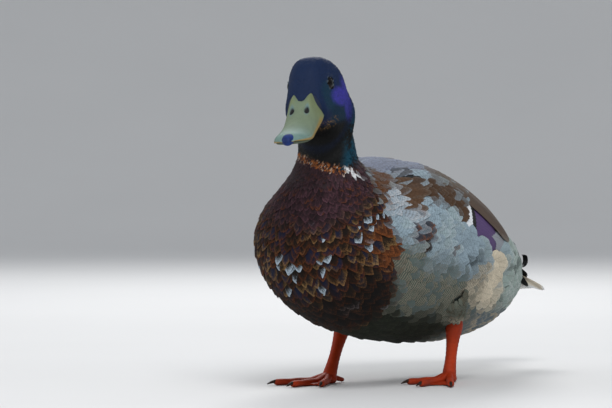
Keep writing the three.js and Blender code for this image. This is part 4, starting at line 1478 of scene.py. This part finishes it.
def bill_arch(t, share, half, top, bottom):
    """Side, along and above of the bill's vault: share runs from the left edge over the ridge to the right
    edge. Near the root the vault follows the two corners. Further on it is a rounded box: the half width
    times cos and the height times sin, both pushed towards a square."""
    a = share * math.pi
    edge = 1 - np.abs(1 - 2 * share)
    plain = smooth(t, *CORNER_END)
    side = lerp(np.sign(np.cos(a)) * along_curve(CORNER_SIDE, edge), squared(np.cos(a), BILL["boxy"]), plain)
    rise = lerp(along_curve(CORNER_RISE, edge), squared(np.sin(a), BILL["boxy"]), plain)
    return half * side, lerp(BILL["root"], BILL["tip"], t) + 0 * side, lerp(bottom, top, rise)


def nostril_dent(side, along):
    """1 in the middle of either nostril, 0 outside it."""
    long_half, high_half = NOSTRIL["half"]
    away = np.hypot((along - NOSTRIL["along"]) / long_half, (np.abs(side) - NOSTRIL["side"]) / high_half)
    return 1 - smooth(away, 0.45, 1.1)


def upper_bill():
    """The vault, dented at the nostrils and grooved along the edge, closed by a hollow palate. Groove and
    ridge are bell curves. Gives back the rings, and for each point its share along, its side, its height as
    a share of the way from edge to ridge, and the dent."""
    t = np.linspace(0, 1, 150)[:, None]
    share = np.linspace(0, 1, 73)[None, :]
    half, top, bottom = along_curve(BILL_HALF, t), along_curve(CULMEN, t), along_curve(TOMIUM, t)
    side, along, above = bill_arch(t, share, half, top, bottom)
    dent = nostril_dent(side, along)
    edge = 1 - np.abs(1 - 2 * share)
    groove = np.exp(-(((edge - 0.2) / 0.035) ** 2)) * smooth(t, 0.1, 0.3) * (1 - smooth(t, 0.8, 0.95))
    ridge = np.exp(-((side / 3.2) ** 2)) * 0.5 * smooth(t, 0.2, 0.35) * (1 - smooth(t, 0.5, 0.8))
    above = above - NOSTRIL["deep"] * dent * smooth(above, -20, -8) - 0.35 * groove + ridge
    side = side * (1 - 0.05 * dent - 0.015 * groove)
    palate = np.linspace(-1, 1, 25)[None, 1:-1]
    hollow = 1.6 * (1 - palate**2) * smooth(t, 0.0, 0.1) * (1 - smooth(t, 0.85, 1.0))
    side = np.concatenate([side, half * palate], 1)
    above = np.concatenate([above, bottom + hollow], 1)
    along = np.broadcast_to(along[:, :1], side.shape)
    height = np.concatenate([edge + 0 * t, np.zeros_like(hollow)], 1)
    return head_place(side, along, above), np.broadcast_to(t, side.shape), side, height, dent


def lower_bill():
    """The under mandible: a vault turned down to the keel, narrower by the inset, under a flat roof. Gives
    back the rings, and each point's share along."""
    t = np.linspace(0, BILL["lower_reach"], 90)[:, None]
    share = np.linspace(0, 1, 49)[None, :]
    half = along_curve(BILL_HALF, t) - BILL["inset"]
    keel, rim = along_curve(KEEL, t), along_curve(TOMIUM, t) - BILL["mouth"]
    a = share * math.pi
    side = half * squared(np.cos(a), 2.6)
    above = lerp(rim, keel, squared(np.sin(a), 2.0))
    roof = np.linspace(-1, 1, 17)[None, 1:-1]
    side = np.concatenate([side, half * roof], 1)
    above = np.concatenate([above, rim + 0 * roof], 1)
    along = np.broadcast_to(lerp(BILL["root"], BILL["tip"], t), side.shape)
    return head_place(side, along, above), np.broadcast_to(t, side.shape)


class DRAKE_OT_Bill(Operator):
    """The bill: upper and lower mandible and the dark nail"""

    bl_idname = "drake.bill"
    bl_label = "Bill"

    def execute(self, context):
        self.upper()
        self.lower()
        self.nail()
        return {"FINISHED"}

    def upper(self):
        """Dull yellow on the root's sides; blue-green to the tip and round the nostrils, a painted bluish
        sheen; painted shade dark in the nostrils; and yellow along the cutting edge."""
        rings, t, side, height, dent = upper_bill()
        dents = np.zeros_like(t)
        dents[:, : dent.shape[1]] = dent
        t, side, height, dents = (a.ravel()[:, None] for a in (t, side, height, dents))
        x = np.abs(side)
        ground = np.tile(colour("bill"), (len(t), 1))
        root = (1 - smooth(t, 0.1, 0.45)) * smooth(x, 2.5, 6)
        ground = lerp(ground, colour("bill") * [1.0, 0.9, 0.5], root * 0.6)
        # Painted sheen: blue-green towards the tip.
        tip_sheen = smooth(t, 0.45, 0.95)
        ground = lerp(ground, colour("bill_tip"), tip_sheen * 0.6)
        # Painted sheen: a pale blue halo round the nostrils.
        rim = nostril_dent(side, lerp(BILL["root"], BILL["tip"], t) * 0.6 + 0.4 * NOSTRIL["along"])
        ground = lerp(ground, colour("bill_tip") * [0.7, 0.8, 1.1], rim * 0.45)
        # Painted shade: the nostrils' dents are painted dark.
        ground = lerp(ground, colour("black"), smooth(dents, 0.35, 0.8))
        yellow = (1 - smooth(height, 0.03, 0.16)) * smooth(t, 0.04, 0.2)
        ground = lerp(ground, colour("bill_edge"), yellow * 0.85)
        self.finish("bill_top", rings, ground, "bill_horn", "bill", "bill_upper")

    def lower(self):
        """Yellow-orange at the root, grey-olive further on."""
        rings, t = lower_bill()
        ground = lerp(colour("bill_edge") * 0.8, colour("bill") * 0.6, smooth(t.ravel()[:, None], 0.2, 0.8))
        self.finish("bill_under", rings, ground, "bill_horn", "bill", "bill_lower")

    def nail(self):
        """A flattened ball whose front end droops over the bill's tip: its radii times sin a cos b to the
        side, cos a ahead, and sin a sin b up."""
        a = np.linspace(0, math.pi, 40)[:, None]
        b = (np.arange(64) / 64 * FULL_TURN)[None, :]
        wide, long, tall = NAIL["radii"]
        side = wide * np.sin(a) * np.cos(b)
        ahead = long * np.cos(a) + 0 * b
        up = tall * np.sin(a) * np.sin(b) - 0.25 * smooth(ahead, 0, 6)
        rings = head_place(side, NAIL["along"] + ahead, NAIL["above"] + up)
        place = rings.reshape(-1, 3)
        cloudy = 0.5 + 0.5 * drift(place, 1.1, 4.0)[:, None]
        ground = lerp(colour("nail") * 0.55, colour("nail") * 1.5, cloudy)
        self.finish("bill_tip_nail", rings, ground, "nail_horn", "bill_nail", "bill_nail")

    def finish(self, name, rings, ground, finish, slot, node):
        """The closed tube through the rings, whose two ends take the first point's colour."""
        grounds = np.concatenate([ground, ground[:1], ground[:1]])
        made = mesh_object(name, tube_shell(rings), attributes={"ground": grounds})
        dress(made, finish, slot, node)


# ---------------------------------------------------------------- eyes
GAZE = np.array([1.0, 0.3, 0.1])  # which way the left eye looks: to the side, along, above
BEHIND = 20  # added to the distance from the pupil's middle on the ball's hidden half


def eye_frame(sign):
    """The eye's centre, and its outward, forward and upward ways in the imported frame."""
    centre = head_place(sign * EYE["side"], EYE["along"], EYE["above"])
    middle = head_place(0.0, 0.0, 0.0)
    ways = (GAZE / np.linalg.norm(GAZE), (0, 1, 0), (0, 0, 1))
    out, ahead, up = (unit(head_place(sign * v[0], v[1], v[2]) - middle) for v in ways)
    ahead = unit(ahead - out * (ahead @ out))
    up = unit(up - out * (up @ out) - ahead * (up @ ahead))
    return centre, out, ahead, up


class DRAKE_OT_Eyes(Operator):
    """Two dark glossy eyes, each in a ring of lid"""

    bl_idname = "drake.eyes"
    bl_label = "Eyes"

    def execute(self, context):
        for side, sign in (("left", 1), ("right", -1)):
            ways = eye_frame(sign)
            self.globe(side, *ways)
            self.lid(side, *ways)
        return {"FINISHED"}

    def globe(self, side, centre, out, ahead, up):
        """A ball: cos a of the outward way, plus sin a round it. Pupil and iris are rings of colour about
        the outward way."""
        a = np.linspace(0.02, math.pi - 0.02, 72)[:, None, None]
        b = (np.arange(64) / 64 * FULL_TURN)[None, :, None]
        radius = EYE["radius"]
        rings = centre + radius * (np.cos(a) * out + np.sin(a) * (np.cos(b) * ahead + np.sin(b) * up))
        away = radius * np.sin(a) + BEHIND * (np.cos(a) < 0)
        away = np.broadcast_to(away, rings.shape[:2] + (1,)).reshape(-1, 1)
        pupil = size("pupil")
        ground = lerp(colour("black") * 0.3, colour("iris"), smooth(away, pupil - 0.15, pupil + 0.15))
        ground = lerp(ground, colour("iris") * 0.4, smooth(away, 3.2, 3.9))
        grounds = np.concatenate([ground, [colour("black") * 0.3, colour("iris") * 0.4]])
        made = mesh_object(f"{side}_eyeball", tube_shell(rings), attributes={"ground": grounds})
        dress(made, "eye_gloss", "eye", f"{side}_eye")

    def lid(self, side, centre, out, ahead, up):
        """A soft ring that hugs the ball: a tube round a path just off the ball, drawn in at the top."""
        a = (np.arange(96) / 96 * FULL_TURN)[:, None]
        reach = 3.75 + 0.25 * np.cos(a) ** 2 - 0.35 * np.clip(np.sin(a), 0, 1)
        around = np.cos(a) * ahead + np.sin(a) * up
        path = centre + out * np.sqrt((EYE["radius"] + 0.1) ** 2 - reach**2) + reach * around
        b = (np.arange(16) / 16 * FULL_TURN)[None, :, None]
        thick = 0.5 + 0.06 * np.sin(9 * a)[:, None]
        rings = path[:, None] + thick * (np.cos(b) * around[:, None] + np.sin(b) * out)
        quads = ring_faces(*rings.shape[:2], joins=True)
        shell = outward((rings.reshape(-1, 3), quads, np.zeros((0, 3), int)))
        speckle = smooth(drift(shell[0], 0.5, 2.0), 0.1, 0.5)[:, None]
        ground = lerp(colour("throat") * 2, colour("flank") * 0.35, speckle)
        made = mesh_object(f"{side}_lid", shell, attributes={"ground": ground})
        dress(made, "lid_skin", "head_feathers")


# ---------------------------------------------------------------- legs
# For each leg: its side's sign, the side, forward and up of its joints, and the degrees its middle toe aims
# to the left.
LEGS = {
    "left": {"sign": 1, "knee": (41, -10, 61), "ankle": (36, -26, 45), "foot": (34, -21, 7), "aim": 6},
    "right": {"sign": -1, "knee": (-41, 18, 61), "ankle": (-37, 1, 45), "foot": (-34, 28, 7), "aim": -4},
}
# Half the shank's width and depth, from ankle to foot.
SHANK_HALF = [5.4, 5.8, 4.6, 3.9, 3.7, 4.1, 4.9]
SHANK_DEPTH = [5.9, 6.3, 5.3, 4.5, 4.3, 4.8, 5.5]
TOES = [(-27, 37, 6), (-2, 46, 6.5), (25, 43, 6)]  # degrees outward, length, claw
TOE = {"thick": 2.7, "tip": 2.1, "heel": 5.6, "up": 2.3}
WEB = {"thick": 1.2, "up": 1.6, "reach": 0.84, "scallop": 0.8}
HIND = {"spread": 196, "length": 13}
LEG_SHARP = 60  # degrees past which an edge of shank or foot stays sharp
# The shin: how far its skin lies under its feathers, where the skin and the feather rows start and end as
# shares of the way down, and how many there are of each.
SHIN = {
    "depth": 2.2,
    "skin_end": 0.66,
    "skin_rings": 30,
    "skin_round": 48,
    "rows": np.linspace(-0.25, 0.62, 17),
    "row_feathers": 26,
}


def shin_surface(leg):
    """A function of share down the shin, share around it and lift: an oval tube, half its width times cos
    and half its depth times sin, on the line from knee to ankle, narrowing as the share to the power 0.8."""
    knee, ankle = placed(*leg["knee"]), placed(*leg["ankle"])
    ahead = unit(ankle - knee)
    across = unit(np.cross(ahead, [0.0, 0, 1]))
    above = np.cross(across, ahead)

    def surface(u, v, lift=0.0):
        """A point of this shin's tube."""
        u, v = np.asarray(u, float), np.asarray(v, float)
        narrow = np.clip(u, 0, None) ** 0.8
        wide = lerp(13, 7.4, narrow) + lift
        tall = lerp(14, 7.8, narrow) + lift
        angle = v * FULL_TURN
        middle = knee + u[..., None] * (ankle - knee)
        aside = (wide * np.cos(angle))[..., None] * across
        return middle + aside + (tall * np.sin(angle))[..., None] * above

    return surface


def shin_unwrap(number, u, v):
    """A shin's own strip above the body on the skin's unwrap: round the shin across, down it upwards."""
    return np.stack([0.05 + 0.4 * number + 0.35 * (v % 1), 0.935 + 0.055 * np.clip(u, 0, 1)], -1)


def floored_tube(rings):
    """A closed tube whose points under the floor are lifted to it."""
    rings[..., 2] = np.maximum(rings[..., 2], 0.0)
    return tube_shell(rings)


class DRAKE_OT_Legs(Operator):
    """Feathered shins, scaled shanks and webbed feet"""

    bl_idname = "drake.legs"
    bl_label = "Legs"

    def execute(self, context):
        rng = np.random.default_rng(17)
        self.tufts(rng)
        for side, leg in LEGS.items():
            self.shank(side, leg)
            self.foot(side, leg)
        return {"FINISHED"}

    def tufts(self, rng):
        """Short feathers in staggered rows down both shins, their tips over the top of the shanks."""
        rows, each = SHIN["rows"], SHIN["row_feathers"]
        pieces = []
        for number, leg in enumerate(LEGS.values()):
            surface = shin_surface(leg)
            count = each * len(rows)
            u = np.repeat(rows, each) + rng.normal(0, 0.012, count)
            v = np.concatenate([(np.arange(each) + 0.5 * (k % 2)) / each for k in range(len(rows))])
            v = v + rng.normal(0, 0.006, count)
            length = rng.uniform(5.5, 8.0, count)
            per_u, per_v = local_scale(surface, u, v)
            t, s = vane_shares(count, 6, 5, 0.2, 0.3, rng)
            down = np.linspace(0, 1, 6)[None, :] * length[:, None]
            yaw = rng.normal(0, 0.12, count)
            line_u = u[:, None] + down * (np.cos(yaw) / per_u)[:, None]
            line_v = v[:, None] + down * (np.sin(yaw) / per_v)[:, None]
            half = (length * 0.3)[:, None, None] * vane_width(t, "soft")
            depth = SHIN["depth"]
            lift = -depth + (depth + 0.2 + rng.normal(0, 0.3, (count, 1, 1))) * t**0.8
            points = lay_vanes(surface, line_u, line_v, t, s, half, lift, 0.12)
            pieces.append((points, t, s, shin_unwrap(number, u, v)))
        points, t, s, roots = (np.concatenate(arrays) for arrays in zip(*pieces))
        count = len(points)
        low = smooth(-points[:, 0, :, 2].mean(1), -52, -44)[:, None]
        pick = rng.uniform(0, 1, (count, 1))
        ground = lerp(barred_green(), colour("belly") * 1.5, smooth(pick, 0.5, 0.9))
        ground = lerp(ground, colour("cream") * 0.7, low * smooth(pick, 0.3, 0.6))
        coat = plain_coat(count, ground, ground * 1.2, colour("cream") * 0.4, [0.25, 0.7, 0.0])
        feather_object("shin_feathers", points, t, s, roots, coat, "soft_feathers", "body_feathers")

    def shank(self, side, leg):
        """An oval tube from the ankle down to the foot, thick at both joints, ringed by scutes: the size of
        a sine of the share down."""
        ankle, foot = placed(*leg["ankle"]), placed(*leg["foot"])
        end = foot - np.array([0, 0, 3.0])
        t = np.linspace(-0.3, 1, 170)
        path = ankle + t[:, None] * (end - ankle)
        scute = 0.12 * np.abs(np.sin(t * 44))
        wide = along_curve(SHANK_HALF, np.clip(t, 0, 1)) + scute
        deep = along_curve(SHANK_DEPTH, np.clip(t, 0, 1)) + scute
        rings = swept(path, wide, deep, 56)
        self.finish(f"{side}_scaled_shank", tube_shell(rings), f"{side}_shank")

    def foot(self, side, leg):
        """Three toes, the hind toe, the sole and two webs as one piece, and the claws as another."""
        shells = [self.toe(leg, spread, length) for spread, length, _ in TOES]
        shells += [self.hind_toe(leg), self.sole(leg), self.web(leg, 0), self.web(leg, 1)]
        self.finish(f"{side}_webbed_foot", joined(shells), f"{side}_foot")
        claws = joined([self.claw(leg, *toe) for toe in TOES])
        ground = np.tile(colour("claw"), (len(claws[0]), 1))
        made = mesh_object(f"{side}_claws", claws, attributes={"ground": ground})
        dress(made, "nail_horn", "leg_skin")

    def finish(self, name, shell, node):
        """Orange-red in slow patches, with painted shade that makes it darker and cooler where it meets the
        floor.
        """
        place = shell[0]
        # Painted shade: darker and cooler within a few millimetres of the floor.
        low = 1 - smooth(place[:, [2]], 0.3, 2.5)
        slow = drift(place, 6, 5.0)[:, None]
        ground = colour("leg") * (1 + 0.22 * slow)
        ground = lerp(ground, colour("leg") * [0.45, 0.5, 0.6], low * 0.7)
        made = mesh_object(name, shell, attributes={"ground": ground}, sharp=LEG_SHARP)
        dress(made, "leg_hide", "leg_skin", node)

    def toe_path(self, leg, spread, length, reach, rise):
        """Points of a toe's middle line from the foot's base out along its direction."""
        a = math.radians(leg["aim"] + leg["sign"] * spread)
        side, forward, _ = leg["foot"]
        reach = np.asarray(reach) * length
        return placed(side + reach * math.sin(a), forward + reach * math.cos(a), rise)

    def toe(self, leg, spread, length):
        """A tube that thins to its tip, bulges at its knuckles with the square of a sine, and is cut flat at
        the floor."""
        t = np.linspace(0, 1, 70)
        rise = lerp(TOE["heel"], TOE["up"], smooth(t, 0, 0.35))
        path = self.toe_path(leg, spread, length, t, rise)
        knuckle = 0.28 * np.sin(t * math.pi * 3 - 0.6) ** 2
        thick = lerp(TOE["thick"], TOE["tip"], t) + knuckle
        thick = thick * np.sqrt(np.clip(1 - smooth(t, 0.93, 1.03) ** 2, 0.05, 1))
        return floored_tube(swept(path, thick, thick * 0.95, 28))

    def claw(self, leg, spread, length, claw):
        """A short horn that bends down to the floor with the square of its share, and thins to its tip."""
        t = np.linspace(0, 1, 24)
        reach = (length - 2 + t * (claw + 2)) / length
        rise = 3.0 - 0.2 * t - 1.6 * t * t
        path = self.toe_path(leg, spread, length, reach, rise)
        thick = 1.25 * (1 - t) ** 0.6 + 0.12
        return floored_tube(swept(path, thick, thick, 16))

    def hind_toe(self, leg):
        """A short tube that comes down to the floor behind the shank."""
        t = np.linspace(0.15, 1, 30)
        rise = 5.0 - 3.4 * t
        path = self.toe_path(leg, HIND["spread"], HIND["length"], t, rise)
        thick = lerp(2.3, 1.4, t) * np.sqrt(np.clip(1 - smooth(t, 0.85, 1.05) ** 2, 0.05, 1))
        return floored_tube(swept(path, thick, thick, 20))

    def sole(self, leg):
        """The round pad under the shank: a flattened ball, cut flat at the floor."""
        a = np.linspace(0, math.pi, 24)[:, None]
        b = (np.arange(36) / 36 * FULL_TURN)[None, :]
        middle = placed(leg["foot"][0], leg["foot"][1], 2.9)
        x = 5.3 * np.sin(a) * np.cos(b)
        y = 6.2 * np.sin(a) * np.sin(b)
        z = 4.0 * np.cos(a) + 0 * b
        return floored_tube(np.stack(np.broadcast_arrays(x, y, z), -1) + middle)

    def web(self, leg, gap):
        """The skin between two toes: a sheet that runs straight from one to the other, with fine folds, its
        rim hollowed by four times the share across times what is left of it."""
        near, far = TOES[gap], TOES[gap + 1]
        u = np.linspace(0, 1, 30)[:, None]
        v = np.linspace(0, 1, 26)[None, :]
        a = [math.radians(leg["aim"] + leg["sign"] * toe[0]) for toe in (near, far)]
        side, forward, _ = leg["foot"]
        hollow = 1 - (1 - WEB["scallop"]) * 4 * v * (1 - v)
        reach_near, reach_far = near[1] * WEB["reach"] * u, far[1] * WEB["reach"] * u
        x = lerp(reach_near * math.sin(a[0]), reach_far * math.sin(a[1]), v) * hollow
        f = lerp(reach_near * math.cos(a[0]), reach_far * math.cos(a[1]), v) * hollow
        fold = 0.18 * np.sin(v * math.pi * 7) * np.sin(v * math.pi) * u
        sag = -0.5 * np.sin(v * math.pi) * smooth(u, 0.2, 1)
        rise = WEB["up"] + fold + sag
        half = WEB["thick"] / 2
        top = placed(side + x, forward + f, rise + half)
        bottom = placed(side + x, forward + f, np.maximum(rise - half, 0.15))
        return plate_shell(top, bottom)


class DRAKE_OT_Materials(Operator):
    """The finishes: feathers, skin, horn, hide and eye"""

    bl_idname = "drake.materials"
    bl_label = "Finishes"

    def execute(self, context):
        make_materials()
        return {"FINISHED"}


# ---------------------------------------------------------------- stage
class DRAKE_OT_Stage(Operator):
    """A pale floor, a soft pale room, three soft lights and the camera"""

    bl_idname = "drake.stage"
    bl_label = "Stage"

    def execute(self, context):
        floor = mesh_object("floor", plate_shell(*floor_sheets()))
        floor.data.materials.append(bpy.data.materials["pale_floor"])
        world = bpy.data.worlds.new("pale_room")
        world.use_nodes = True
        background = world.node_tree.nodes["Background"]
        background.inputs["Color"].default_value = ROOM["colour"]
        background.inputs["Strength"].default_value = ROOM["strength"]
        context.scene.world = world
        for name, place, wide, power in SOFT_LIGHTS:
            lamp = bpy.data.lights.new(name, "AREA")
            lamp.shape, lamp.size, lamp.energy = "DISK", wide, power
            made = bpy.data.objects.new(name, lamp)
            made.location = place
            aim = Vector(LIGHT_AIM) - Vector(place)
            made.rotation_euler = aim.to_track_quat("-Z", "Y").to_euler()
            context.scene.collection.objects.link(made)
        make_camera(context.scene)
        context.scene.view_settings.view_transform = "Standard"
        return {"FINISHED"}


# name, place and width in metres, power in watts
SOFT_LIGHTS = [
    ("key", (0.9, -1.1, 1.5), 0.9, 22),
    ("fill", (-1.4, -1.0, 0.7), 1.2, 6),
    ("rim", (-0.8, 1.3, 1.3), 0.8, 16),
]
LIGHT_AIM = (0, 0, 0.12)  # where all three lights point, in metres
ROOM = {"colour": (0.8, 0.83, 0.87, 1), "strength": 0.55}
# Degrees the camera stands round to the left, distance from the neck's axis, offset along the picture,
# height, and degrees it looks down.
VIEW = {"turn": 32.0, "distance": 1927.0, "aside": -6.67, "up": 162.0, "pitch": 1.07}
FLOOR = {"half": 4000, "points": 65, "flat": 2400, "rise": 1600, "thick": 20.0}


def floor_sheets():
    """The floor's top and bottom. It is flat round the bird, and past its flat part it goes up by the rise
    times the square of the distance past, in lengths of the flat part."""
    line = np.linspace(-FLOOR["half"], FLOOR["half"], FLOOR["points"])
    x, y = np.meshgrid(line, line, indexing="ij")
    past = np.clip(np.hypot(x, y) / FLOOR["flat"] - 1, 0, None)
    top = np.stack([x, y, FLOOR["rise"] * past**2], -1)
    return top, top - np.array([0, 0, FLOOR["thick"]])


def make_camera(scene):
    """The camera looks at the neck from in front and from the bird's left."""
    a = math.radians(VIEW["turn"])
    ahead = np.array([-math.sin(a), math.cos(a), 0])
    place = np.array([0, -NECK_AXIS, 0]) - VIEW["distance"] * ahead
    place = place + VIEW["aside"] * np.array([math.cos(a), math.sin(a), 0]) + [0, 0, VIEW["up"]]
    lens = bpy.data.cameras.new("camera")
    lens.lens = scene.drake_sizes.lens
    lens.sensor_width = 36
    made = bpy.data.objects.new("camera", lens)
    made.location = (place + SHIFT) * MM
    made.rotation_euler = (math.radians(90 - VIEW["pitch"]), 0, a)
    scene.collection.objects.link(made)
    scene.camera = made


class DRAKE_PT_Panel(Panel):
    """Sidebar page with the drake's parts"""

    bl_idname = "DRAKE_PT_panel"
    bl_label = "Drake"
    bl_space_type = "VIEW_3D"
    bl_region_type = "UI"
    bl_category = "Drake"

    def draw(self, context):
        for operator in OPERATORS:
            self.layout.operator(operator.bl_idname)
        for group in (context.scene.drake_sizes, context.scene.drake_colours):
            for name in group.__annotations__:
                self.layout.prop(group, name)


OPERATORS = (
    DRAKE_OT_Materials,
    DRAKE_OT_Skin,
    DRAKE_OT_Contour,
    DRAKE_OT_Wings,
    DRAKE_OT_Tail,
    DRAKE_OT_Bill,
    DRAKE_OT_Eyes,
    DRAKE_OT_Legs,
    DRAKE_OT_Stage,
)
CLASSES = (DrakeColours, DrakeSizes, *OPERATORS, DRAKE_PT_Panel)


def register():
    """Adds the classes, and the drake's colours and sizes to each scene."""
    for each in CLASSES:
        bpy.utils.register_class(each)
    bpy.types.Scene.drake_colours = PointerProperty(type=DrakeColours)
    bpy.types.Scene.drake_sizes = PointerProperty(type=DrakeSizes)


def unregister():
    """Takes away what register added."""
    del bpy.types.Scene.drake_sizes
    del bpy.types.Scene.drake_colours
    for each in reversed(CLASSES):
        bpy.utils.unregister_class(each)


def main():
    """Builds the drake and its stage."""
    register()
    for operator in OPERATORS:
        family, name = operator.bl_idname.split(".")
        getattr(getattr(bpy.ops, family), name)()


if __name__ == "__main__":
    main()
